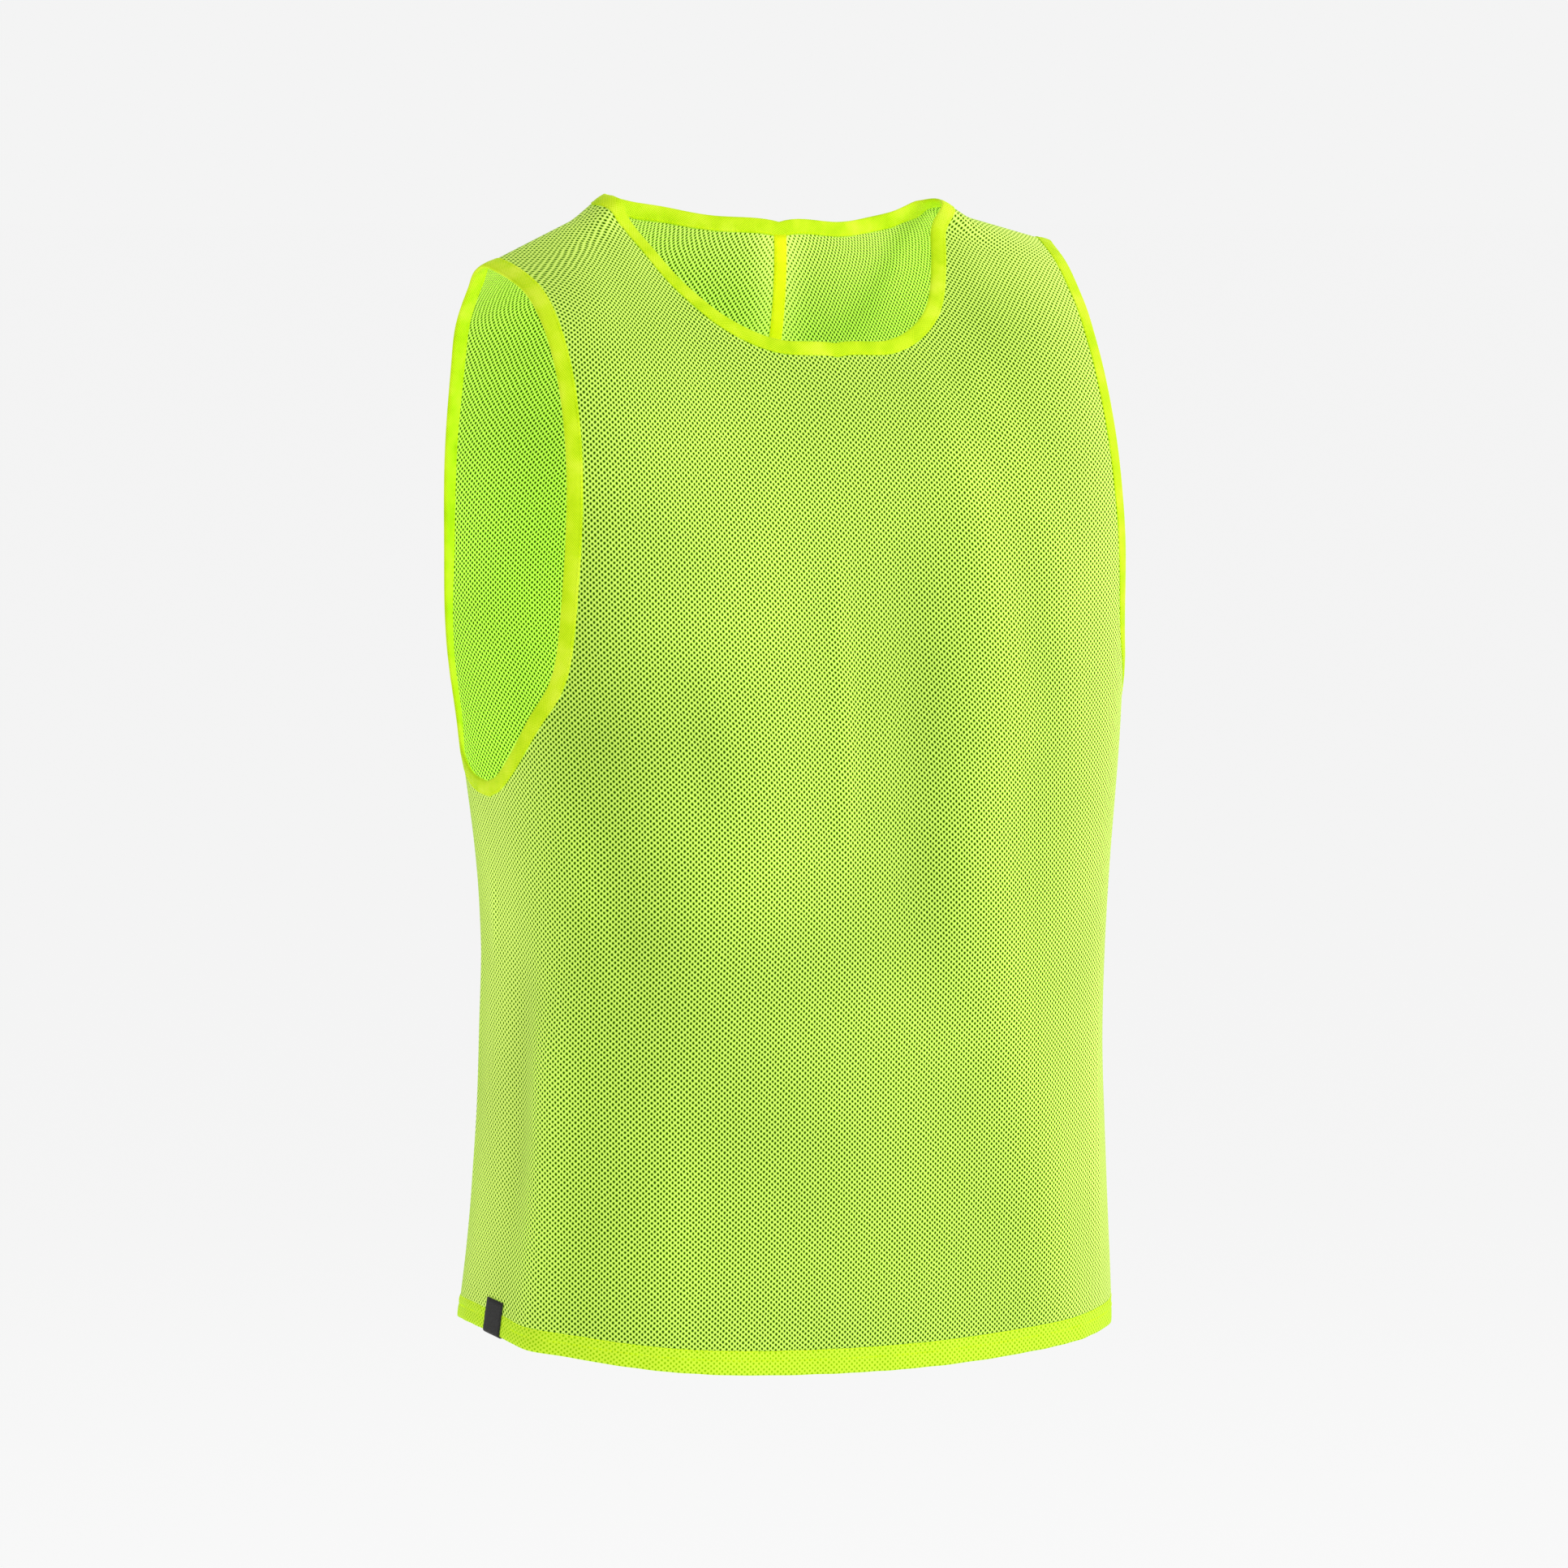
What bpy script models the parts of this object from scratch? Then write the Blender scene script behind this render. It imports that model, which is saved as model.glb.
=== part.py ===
"""Training bib, filled out as if worn: cloth as walls, bindings, tape, turned hem and label.

Metres, +Z up, the front faces -Y and the wearer's left is +X.
The origin is midway between the two points where the neck edge crosses the shoulders.
"""
import bpy
import math
import numpy as np

# Sizes that drive the shape
WALL = 0.0013            # wall of the mesh cloth
SEAM_GAP = 0.0003        # air left between two sewn pieces
BIND_GAP = 0.0005       # air between a binding and the cloth folded into it
BIND_WALL = 0.0009       # wall of the folded binding
BIND_DEPTH = 0.0075      # how far a binding's leg reaches onto the cloth
NECK_HALF = 0.111        # half the width of the neck at the shoulders
TIP_HALF = 0.186         # half the width from shoulder tip to shoulder tip
SHOULDER_FALL = 0.400    # fall of the shoulder line for each metre outward
NECK_STAND = 0.005       # how far the neck edge stands above the shoulder line beside it
LEFT_DROP = 0.0045       # how much lower the neck's left point lies, as the bib hangs unevenly
LEFT_FLATTER = 0.130     # how much less the left shoulder falls for each metre outward
RIGHT_STEEPER = 0.050    # how much more the right shoulder falls for each metre outward
CHEST_TWIST = 0.045      # how far the upper front turns back on the left, for each metre outward
HEM_LEVEL = 0.702        # level of the hem's fold
HEM_DEPTH = 0.015        # height of the turned-up hem
TAPE_HALF = 0.004        # half the width of the tape on the centre-back seam
TAPE_WALL = 0.0008       # wall of that tape
LABEL_WALL = 0.0008      # wall of the label
LABEL_RISE = 0.0238      # height of the label above the hem's fold
LABEL_WIDTH = 0.0180     # width of the label
LABEL_LINE = 3           # upright line under the wearer's right arm, counted from the front, of its middle

# Grid of the cloth, counted per half
FRONT_COLUMNS = 7        # centre front to the neck's corner
STRAP_COLUMNS = 5        # neck's corner to the armhole's corner
SIDE_COLUMNS = 9         # under the armhole
BACK_COLUMNS = 7         # neck's corner to the centre back
LOW_ROWS = 16            # turned hem to the armhole's corner
MID_ROWS = 11            # armhole's corner to the neck's corner, front
TOP_ROWS = 8             # neck's corner to the shoulder line, front
MID_ROWS_BACK = 14       # armhole's corner to the neck's corner, back
TOP_ROWS_BACK = 4        # neck's corner to the shoulder line, back

# Sections of the garment, one row per level below the shoulder line
# level, drop, half_width, front_depth, back_depth, lean, front_square, back_square, fall_share,
# front_hollow, back_hollow
SECTIONS = np.array([
    (-0.012, 0.003, 0.203, -0.012, -0.011, 0.000, 5.0, 5.0, 1.00, 0.000, 0.000),
    (0.000, 0.000, 0.203, 0.000, 0.000, 0.000, 5.0, 5.0, 1.00, 0.000, 0.000),
    (0.012, 0.003, 0.203, 0.012, 0.011, 0.000, 5.0, 5.0, 1.00, 0.000, 0.000),
    (0.030, 0.015, 0.203, 0.038, 0.020, 0.000, 5.0, 5.0, 0.92, 0.042, 0.014),
    (0.060, 0.039, 0.203, 0.066, 0.039, 0.000, 5.0, 5.0, 0.78, 0.050, 0.044),
    (0.100, 0.074, 0.203, 0.088, 0.048, 0.000, 5.0, 5.0, 0.58, 0.033, 0.054),
    (0.150, 0.123, 0.204, 0.104, 0.061, -0.002, 4.8, 4.8, 0.36, 0.019, 0.052),
    (0.210, 0.183, 0.205, 0.112, 0.073, -0.006, 4.3, 4.3, 0.18, 0.012, 0.034),
    (0.280, 0.253, 0.203, 0.112, 0.090, -0.013, 3.6, 3.6, 0.06, 0.006, 0.016),
    (0.350, 0.323, 0.199, 0.109, 0.099, -0.025, 3.0, 3.1, 0.01, 0.000, 0.005),
    (0.430, 0.403, 0.193, 0.110, 0.101, -0.030, 2.7, 2.8, 0.00, 0.000, 0.001),
    (0.520, 0.493, 0.193, 0.110, 0.099, -0.027, 2.6, 2.7, 0.00, 0.000, 0.000),
    (0.610, 0.583, 0.197, 0.112, 0.099, -0.024, 2.6, 2.7, 0.00, 0.000, 0.000),
    (0.704, 0.677, 0.205, 0.115, 0.101, -0.018, 2.6, 2.7, 0.00, 0.000, 0.000),
    (0.734, 0.707, 0.207, 0.115, 0.101, -0.016, 2.6, 2.7, 0.00, 0.000, 0.000),
])

# Rise of the hem round the body: degrees from the centre front, metres
HEM_RISE = np.array([
    (-180.0, 0.006), (-135.0, 0.016), (-95.0, 0.026), (-62.0, 0.0228), (-25.0, 0.0075), (0.0, 0.0005),
    (45.0, -0.0025), (90.0, -0.0035), (135.0, 0.001), (180.0, 0.006),
])

# Neck edge from the centre to the shoulder line: step, x, level
NECK_FRONT = np.array([
    (0.00, 0.000, 0.1270), (0.21, 0.038, 0.1210), (0.40, 0.065, 0.1045), (0.58, 0.083, 0.082),
    (0.78, 0.0975, 0.048), (0.92, 0.106, 0.020), (1.00, NECK_HALF, 0.000),
])
NECK_BACK = np.array([
    (0.00, 0.000, 0.0645), (0.20, 0.040, 0.054), (0.40, 0.072, 0.037), (0.60, 0.092, 0.024),
    (0.80, 0.104, 0.012), (1.00, NECK_HALF, 0.000),
])
NECK_CORNER = 0.52
NECK_BACK_CORNER = 0.52

# Armhole edge from the bottom of the curve to the shoulder tip: step, x, level
ARM_FRONT = np.array([
    (0.45, 0.187, 0.288), (0.60, 0.183, 0.228), (0.75, 0.180, 0.155),
    (0.88, 0.180, 0.075), (0.95, 0.181, 0.030), (1.00, TIP_HALF, 0.000),
])
ARM_BACK = np.array([
    (0.45, 0.193, 0.288), (0.60, 0.192, 0.228), (0.75, 0.193, 0.155),
    (0.88, 0.192, 0.075), (0.95, 0.189, 0.030), (1.00, TIP_HALF, 0.000),
])
# The curve under the arm: step, degrees from the side line, level
ARM_FRONT_LOW = np.array([(0.00, 0.0, 0.357), (0.16, 13.5, 0.3445), (0.32, 27.0, 0.316)])
ARM_BACK_LOW = np.array([(0.00, 0.0, 0.358), (0.16, 16.0, 0.353), (0.32, 29.0, 0.331)])
ARM_CORNER = 0.30

# Largest folds: degrees at the top, degrees at the bottom, level from, level to, half width in
# degrees, height (outward is plus)
FOLDS = np.array([
    (10.0, 5.0, 0.200, 0.500, 6.5, -0.0045),     # hollow beside the centre front
    (23.0, 22.0, 0.120, 0.420, 6.5, 0.0035),     # ridge hanging from the left of the neck
    (14.0, 41.0, 0.330, 0.740, 8.0, 0.0045),     # long ridge to the left end of the hem
    (-14.0, -24.0, 0.160, 0.480, 9.0, 0.0030),   # soft fullness over the right chest
    (-50.0, -46.0, 0.250, 0.560, 9.0, -0.0030),  # soft hollow under the right armhole
    (-80.0, -77.0, 0.400, 0.660, 8.0, -0.0045),  # hollow down the right side
    (-67.0, -63.0, 0.460, 0.790, 7.5, 0.0060),   # ridge ending in the wave of the hem
    (72.0, 78.0, 0.330, 0.600, 9.0, -0.0040),    # hollow under the left armhole
    (158.0, 150.0, 0.140, 0.520, 10.0, 0.0050),  # back ridge from the left shoulder blade
    (-160.0, -150.0, 0.180, 0.600, 10.0, 0.0045),  # back ridge from the right shoulder blade
    (136.0, 122.0, 0.300, 0.790, 9.0, 0.0060),   # back ridge to the left end of the hem
    (-128.0, -134.0, 0.360, 0.790, 9.0, 0.0055),  # back ridge to the right end of the hem
    (173.0, 168.0, 0.330, 0.720, 7.0, -0.0035),  # hollow beside the centre-back seam
])


def along(table, where):
    """Smooth value of every further column of a table at places given in its first column."""
    table = np.asarray(table, float)
    where = np.asarray(where, float)
    x = table[:, 0]
    y = table[:, 1:]
    step = np.diff(x)[:, None]
    rise = np.diff(y, axis=0) / step
    slope = np.empty_like(y)
    slope[0] = rise[0]
    slope[-1] = rise[-1]
    slope[1:-1] = (rise[:-1] * step[1:] + rise[1:] * step[:-1]) / (step[:-1] + step[1:])
    k = np.clip(np.searchsorted(x, where, side="right") - 1, 0, len(x) - 2)
    span = (x[k + 1] - x[k])[..., None]
    u = (where[..., None] - x[k][..., None]) / span
    out = (2 * u ** 3 - 3 * u ** 2 + 1) * y[k] + (u ** 3 - 2 * u ** 2 + u) * span * slope[k]
    out = out + (3 * u ** 2 - 2 * u ** 3) * y[k + 1] + (u ** 3 - u ** 2) * span * slope[k + 1]
    return out


def angle_of(x, level, front):
    """Angle round the body, 0 at the centre front, of a place x on the section of a level."""
    values = along(SECTIONS, level)
    square = values[..., 5] if front else values[..., 6]
    share = np.clip(np.abs(x) / values[..., 1], 0.0, 0.9999)
    other = (1.0 - share ** square) ** (1.0 / square)
    angle = np.arctan2(share, other)
    return angle if front else math.pi - angle


def middle(angle, level):
    """Middle of the cloth at an angle round the body and a level below the shoulder line."""
    values = along(SECTIONS, level)
    drop, half, front, back, lean, square_f, square_b, share, hollow_f, hollow_b = np.moveaxis(values, -1, 0)
    sine = np.sin(angle)
    cosine = np.cos(angle)
    facing = cosine >= 0.0
    square = np.where(facing, square_f, square_b)
    size = (np.abs(sine) ** square + np.abs(cosine) ** square) ** (-1.0 / square)
    x = half * size * sine
    y = lean - np.where(facing, front, back) * size * cosine
    pulled = level / 0.075 * np.exp(1.0 - level / 0.075) * np.clip(2.0 * cosine, 0.0, 1.0)
    y = y + CHEST_TWIST * x * pulled * pulled
    y = y + np.where(facing, hollow_f * np.exp(-(x / 0.125) ** 4), -hollow_b * np.exp(-(x / 0.125) ** 2))
    line = SHOULDER_FALL * (np.sqrt(x ** 2 + 0.0009) - math.sqrt(NECK_HALF ** 2 + 0.0009))
    beside = np.clip((np.abs(x) - NECK_HALF + 0.002) / 0.022, 0.0, 1.0)
    line = line + NECK_STAND * beside * beside * (3.0 - 2.0 * beside)
    left = np.clip(x / 0.09, 0.0, 1.0)
    line = line + left * left * (3.0 - 2.0 * left) * (LEFT_DROP - LEFT_FLATTER * (x - NECK_HALF))
    line = line + RIGHT_STEEPER * np.maximum(-x - NECK_HALF, 0.0)
    degrees = (np.degrees(angle) + 180.0) % 360.0 - 180.0
    low = np.clip((level - 0.42) / (HEM_LEVEL - 0.42), 0.0, 1.1)
    z = -drop - share * line + along(HEM_RISE, degrees)[..., 0] * low * low
    push = np.zeros_like(x)
    for top_angle, low_angle, top, low, width, height in FOLDS:
        part = np.clip((level - top) / (low - top), 0.0, 1.0)
        centre = top_angle + (low_angle - top_angle) * part
        gap = (degrees - centre + 180.0) % 360.0 - 180.0
        ends = np.clip((level - top) / 0.09, 0.0, 1.0) * np.clip((low - level) / 0.09, 0.0, 1.0)
        push = push + height * np.exp(-(gap / width) ** 2) * ends * ends * (3.0 - 2.0 * ends)
    return np.stack([x + push * sine, y - push * cosine, z], axis=-1)


def outward(angle, level):
    """Unit normal of the cloth, pointing away from the hollow."""
    small = 0.0008
    high = np.maximum(level - small, 0.0)
    across = middle(angle + 0.004, level) - middle(angle - 0.004, level)
    down = middle(angle, level + small) - middle(angle, high)
    normal = np.cross(down, across)
    return normal / np.linalg.norm(normal, axis=-1, keepdims=True)


def arm_curve(front):
    """Steps, angles and levels of one face's armhole edge, from under the arm to the shoulder."""
    high = ARM_FRONT if front else ARM_BACK
    low = ARM_FRONT_LOW if front else ARM_BACK_LOW
    side = -1.0 if front else 1.0
    upper = np.stack([high[:, 0], angle_of(high[:, 1], high[:, 2], front), high[:, 2]], axis=-1)
    lower = np.stack([low[:, 0], 0.5 * math.pi + side * np.radians(low[:, 1]), low[:, 2]], axis=-1)
    mirror = lower[1:2] * np.array([-1.0, 1.0, 1.0])
    mirror[:, 1] = math.pi - mirror[:, 1]
    return np.concatenate([mirror, lower, upper])


def arm_side(front, mid_rows, top_rows, turn_level):
    """Chart points up one face's armhole edge, from its corner to the shoulder tip."""
    dense = np.linspace(ARM_CORNER, 1.0, 600)
    values = along(arm_curve(front), dense)
    levels = np.concatenate([np.linspace(values[0, 1], turn_level, mid_rows + 1),
                             np.linspace(turn_level, 0.0, top_rows + 1)[1:]])
    steps = np.interp(-levels, -values[:, 1], dense)
    points = along(arm_curve(front), steps)
    points[-1, 1] = 0.0
    return points


def arm_under():
    """Chart points round the bottom of the armhole, from the front corner to the back corner."""
    steps = np.linspace(-ARM_CORNER, ARM_CORNER, SIDE_COLUMNS + 1)
    front = along(arm_curve(True), np.abs(steps))
    back = along(arm_curve(False), np.abs(steps))
    return np.where(steps[:, None] < 0.0, front, back)


def neck_run(start, end, count, front):
    """Chart points on the neck edge of one face between two of its steps."""
    values = along(NECK_FRONT if front else NECK_BACK, np.linspace(start, end, count + 1))
    level = np.maximum(values[:, 1], 0.0)
    return np.stack([angle_of(np.maximum(values[:, 0], 0.0), level, front), level], axis=-1)


def inset(loop, depth):
    """Closed chart loop moved into the cloth by a depth, square to the edge."""
    angle = loop[:, 0]
    level = loop[:, 1]
    place = middle(angle, level)
    run = np.roll(place, -1, axis=0) - np.roll(place, 1, axis=0)
    run = run / np.linalg.norm(run, axis=1, keepdims=True)
    inward = np.cross(outward(angle, level), run)
    by_angle = (middle(angle + 0.003, level) - middle(angle - 0.003, level)) / 0.006
    low = np.maximum(level - 0.0005, 0.0)
    by_level = (middle(angle, level + 0.0005) - middle(angle, low)) / (level + 0.0005 - low)[:, None]
    aa = np.sum(by_angle * by_angle, axis=1)
    al = np.sum(by_angle * by_level, axis=1)
    ll = np.sum(by_level * by_level, axis=1)
    ra = np.sum(by_angle * inward, axis=1) * depth
    rl = np.sum(by_level * inward, axis=1) * depth
    fall = aa * ll - al * al
    moved = np.stack([angle + (ra * ll - rl * al) / fall, level + (rl * aa - ra * al) / fall], axis=-1)
    moved[:, 1] = np.where(level <= 0.0, 0.0, moved[:, 1])
    return moved


def ladder(start_angle, top, extra=None):
    """Chart points from the hem's fold straight up to a point, the turned hem's rows first."""
    high = HEM_LEVEL - HEM_DEPTH - 0.0015
    hem_rows = np.array([(start_angle, HEM_LEVEL), (start_angle, HEM_LEVEL - HEM_DEPTH)])
    share = np.linspace(0.0, 1.0, (LOW_ROWS if extra is None else LOW_ROWS + extra) + 1)[:, None]
    return np.concatenate([hem_rows, (1 - share) * np.array([start_angle, high]) + share * top])


def blend(left, right, bottom, top):
    """Chart patch between two upright edges, its bottom and top rows laid on two more edges."""
    across = np.linspace(0.0, 1.0, len(bottom))[None, :, None]
    up = np.clip((np.arange(len(left)) - 2.0) / (len(left) - 3.0), 0.0, 1.0)[:, None, None]
    grid = (1 - across) * left[:, None] + across * right[:, None]
    low = bottom[None] - ((1 - across) * bottom[0] + across * bottom[-1])
    high = top[None] - ((1 - across) * top[0] + across * top[-1])
    return grid + (1 - up) * low + up * high


def line(start, end, count):
    """Chart points evenly on a straight line."""
    share = np.linspace(0.0, 1.0, count + 1)[:, None]
    return (1 - share) * np.asarray(start, float) + share * np.asarray(end, float)


def chart():
    """Edge loops, their inset loops and the five patches of the +X half."""
    neck_f = neck_run(0.0, NECK_CORNER, FRONT_COLUMNS, True)
    neck_fs = neck_run(NECK_CORNER, 1.0, TOP_ROWS, True)
    neck_bs = neck_run(1.0, NECK_BACK_CORNER, TOP_ROWS_BACK, False)
    neck_b = neck_run(NECK_BACK_CORNER, 0.0, BACK_COLUMNS, False)
    half = np.concatenate([neck_f, neck_fs[1:], neck_bs[1:], neck_b[1:]])
    other = half[-2:0:-1] * np.array([-1.0, 1.0]) + np.array([2 * math.pi, 0.0])
    neck = np.concatenate([half, other])
    arm_f = arm_side(True, MID_ROWS, TOP_ROWS, 0.105)
    arm_b = arm_side(False, MID_ROWS_BACK, TOP_ROWS_BACK, 0.030)
    under = arm_under()
    arm = np.concatenate([arm_f[::-1], under[1:], arm_b[1:-1]])
    neck_in = inset(neck, -BIND_DEPTH)
    neck_in[0, 0] = 0.0
    neck_in[len(half) - 1, 0] = math.pi
    neck_in[len(half):] = neck_in[len(half) - 2:0:-1] * np.array([-1.0, 1.0]) + np.array([2 * math.pi, 0.0])
    arm_in = inset(arm, -BIND_DEPTH)
    a, b, c = FRONT_COLUMNS, FRONT_COLUMNS + TOP_ROWS, FRONT_COLUMNS + TOP_ROWS + TOP_ROWS_BACK
    d = c + BACK_COLUMNS
    top_f, side_f, side_b, top_b = neck_in[:a + 1], neck_in[a:b + 1], neck_in[b:c + 1], neck_in[c:d + 1]
    side_b = side_b.copy()
    side_b[0, 0] = math.pi - side_b[0, 0]
    rows = MID_ROWS + TOP_ROWS
    in_f = arm_in[:rows + 1][::-1]
    in_under = arm_in[rows:rows + SIDE_COLUMNS + 1]
    in_b = np.concatenate([arm_in[rows + SIDE_COLUMNS:], arm_in[:1]])
    in_b[-1, 0] = math.pi - in_b[-1, 0]
    hem_a = float(angle_of(np.array(0.080), np.array(HEM_LEVEL), True))
    hem_b = 0.5 * math.pi - 0.50
    hem_c = 0.5 * math.pi + 0.50
    hem_d = float(angle_of(np.array(0.080), np.array(HEM_LEVEL), False))
    line_a = ladder(hem_a, top_f[-1], MID_ROWS)
    line_b = ladder(hem_b, in_f[0])
    line_c = ladder(hem_c, in_b[0])
    line_d = ladder(hem_d, top_b[0], MID_ROWS_BACK)
    centre = ladder(0.0, top_f[0], MID_ROWS)
    seam = ladder(math.pi, top_b[-1], MID_ROWS_BACK)

    def hem(first, last, count):
        return line((first, HEM_LEVEL), (last, HEM_LEVEL), count)

    front_left = np.concatenate([line_a, side_f[1:]])
    front_right = np.concatenate([line_b, in_f[1:]])
    back_left = np.concatenate([line_c, in_b[1:]])
    back_right = np.concatenate([line_d, side_b[::-1][1:]])
    strap_top = line(front_left[-1], front_right[-1], STRAP_COLUMNS)
    strap_back = strap_top[::-1] * np.array([-1.0, 1.0]) + np.array([math.pi, 0.0])
    patches = [
        blend(centre, line_a, hem(0.0, hem_a, FRONT_COLUMNS), top_f),
        blend(front_left, front_right, hem(hem_a, hem_b, STRAP_COLUMNS), strap_top),
        blend(line_b, line_c, hem(hem_b, hem_c, SIDE_COLUMNS), in_under),
        blend(back_left, back_right, hem(hem_c, hem_d, STRAP_COLUMNS), strap_back),
        blend(line_d, seam, hem(hem_d, math.pi, BACK_COLUMNS), top_b),
    ]
    return patches, neck, neck_in, arm, arm_in


def mirrored(points):
    """The same chart points on the wearer's other half."""
    return points * np.array([-1.0, 1.0])


def walls(points):
    """Outer face, inner face and normal of the cloth at chart points."""
    place = middle(points[..., 0], points[..., 1])
    normal = outward(points[..., 0], points[..., 1])
    turned = points[..., 1] > HEM_LEVEL - HEM_DEPTH - 0.0005
    inner = np.where(turned, 1.5 * WALL, 0.5 * WALL)[..., None]
    return place + 0.5 * WALL * normal, place - inner * normal, normal


def grid_faces(rows, columns, start):
    """Corner numbers of the quads of a grid whose first point has a given number."""
    first = start + np.arange(rows - 1)[:, None] * columns + np.arange(columns - 1)[None, :]
    first = first.reshape(-1)
    return np.stack([first, first + 1, first + columns + 1, first + columns], axis=-1)


def body_mesh():
    """Points and faces of the one-piece body, a closed wall with its rims."""
    patches, neck, neck_in, arm, arm_in = chart()
    grids = patches + [mirrored(p) for p in patches]
    for edge, inner in ((neck, neck_in), (arm, arm_in), (mirrored(arm), mirrored(arm_in))):
        strip = np.stack([inner, edge])
        grids.append(np.concatenate([strip, strip[:, :1]], axis=1))
    outer, inner, faces, count = [], [], [], 0
    for grid in grids:
        face_out, face_in, normal = walls(grid)
        quads = grid_faces(grid.shape[0], grid.shape[1], count)
        flat = face_out.reshape(-1, 3)
        threes = np.concatenate([quads[:, [0, 1, 2]], quads[:, [0, 2, 3]]])
        ways = np.cross(flat[threes[:, 1] - count] - flat[threes[:, 0] - count],
                        flat[threes[:, 2] - count] - flat[threes[:, 0] - count])
        wrong = np.sum(ways * normal.reshape(-1, 3)[threes[:, 0] - count], axis=1) < 0.0
        threes[wrong] = threes[wrong][:, ::-1]
        outer.append(flat)
        inner.append(face_in.reshape(-1, 3))
        faces.append(threes)
        count += len(flat)
    outer = np.concatenate(outer)
    inner = np.concatenate(inner)
    faces = np.concatenate(faces)
    seat = np.round((outer + inner) * 0.5e5).astype(np.int64)
    _, first, weld = np.unique(seat, axis=0, return_index=True, return_inverse=True)
    weld = weld.reshape(-1)
    outer = outer[first]
    inner = inner[first]
    faces = weld[faces]
    total = len(outer)
    sides = np.concatenate([faces[:, [k, (k + 1) % 3]] for k in range(3)])
    keys = {(int(p), int(q)) for p, q in sides}
    open_sides = np.array([(p, q) for p, q in sorted(keys) if (q, p) not in keys])
    low, high = open_sides[:, 0], open_sides[:, 1]
    rims = np.concatenate([np.stack([high, low, low + total], axis=-1),
                           np.stack([high, low + total, high + total], axis=-1)])
    points = np.concatenate([outer, inner])
    back = faces[:, ::-1] + total
    return points, np.concatenate([faces, back, rims])


def binding_mesh(edge, inner):
    """A strip folded over a raw edge: the cloth's own points there, moved out."""
    edge_out, edge_in, edge_normal = walls(edge)
    in_out, in_in, in_normal = walls(inner)
    away = 0.5 * (edge_out + edge_in) - 0.5 * (in_out + in_in)
    away = away / np.linalg.norm(away, axis=1, keepdims=True)
    near = BIND_GAP
    far = BIND_GAP + BIND_WALL
    ring = np.stack([
        in_out + far * in_normal,
        edge_out + far * edge_normal,
        0.5 * (edge_out + edge_in) + (far + 0.0002) * away,
        edge_in - far * edge_normal,
        in_in - far * in_normal,
        in_in - near * in_normal,
        edge_in - near * edge_normal + near * away,
        edge_out + near * edge_normal + near * away,
        in_out + near * in_normal,
    ], axis=1)
    count, around = ring.shape[:2]
    first = (np.arange(count)[:, None] * around + np.arange(around)[None, :])
    second = np.roll(first, -1, axis=1)
    beside = np.roll(first, -1, axis=0)
    third = np.roll(beside, -1, axis=1)
    # The legs are cut into the same triangles as the cloth under them
    outward_leg = np.isin(np.arange(around), (3, 7))[None, :, None]
    one = np.where(outward_leg, np.stack([first, second, beside], axis=-1),
                   np.stack([first, second, third], axis=-1))
    two = np.where(outward_leg, np.stack([second, third, beside], axis=-1),
                   np.stack([first, third, beside], axis=-1))
    return ring.reshape(-1, 3), np.concatenate([one.reshape(-1, 3), two.reshape(-1, 3)])


def tube_quads(count, around):
    """Quads of a tube: a closed ring at each of a number of places, ends closed apart."""
    first = (np.arange(count - 1)[:, None] * around + np.arange(around)[None, :])
    beside = np.roll(first, -1, axis=1)
    return np.stack([first, beside, beside + around, first + around], axis=-1).reshape(-1, 4)


def tape_mesh(patch):
    """Tape over the centre-back seam: the wall's inner points there, moved into the hollow."""
    inner_left = walls(patch)[1]
    inner_right = walls(mirrored(patch))[1]
    normal = walls(patch)[2][3:, -1]
    seam = inner_left[3:, -1]
    reach_left = inner_left[3:, -2] - seam
    reach_right = inner_right[3:, -2] - seam
    left = seam + reach_left * (TAPE_HALF / np.linalg.norm(reach_left, axis=1, keepdims=True))
    right = seam + reach_right * (TAPE_HALF / np.linalg.norm(reach_right, axis=1, keepdims=True))
    rows = []
    for line_points in (left, seam, right):
        fixed = line_points.copy()
        for end, beside, short in ((0, 1, 0.0015), (-1, -2, 0.0008)):
            run = line_points[beside] - line_points[end]
            fixed[end] = line_points[end] + run * (short / np.linalg.norm(run))
        rows.append(fixed)
    left, seam, right = rows
    near = SEAM_GAP * normal
    far = (SEAM_GAP + TAPE_WALL) * normal
    ring = np.stack([left - near, seam - near, right - near, right - far, seam - far, left - far], axis=1)
    count = len(ring)
    quads = tube_quads(count, 6)
    last = (count - 1) * 6
    ends = np.array([(0, 1, 4, 5), (1, 2, 3, 4), (last, last + 1, last + 4, last + 5),
                     (last + 1, last + 2, last + 3, last + 4)])
    ends[:2] = ends[:2, ::-1]
    return ring.reshape(-1, 3), np.concatenate([quads, ends])


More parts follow.
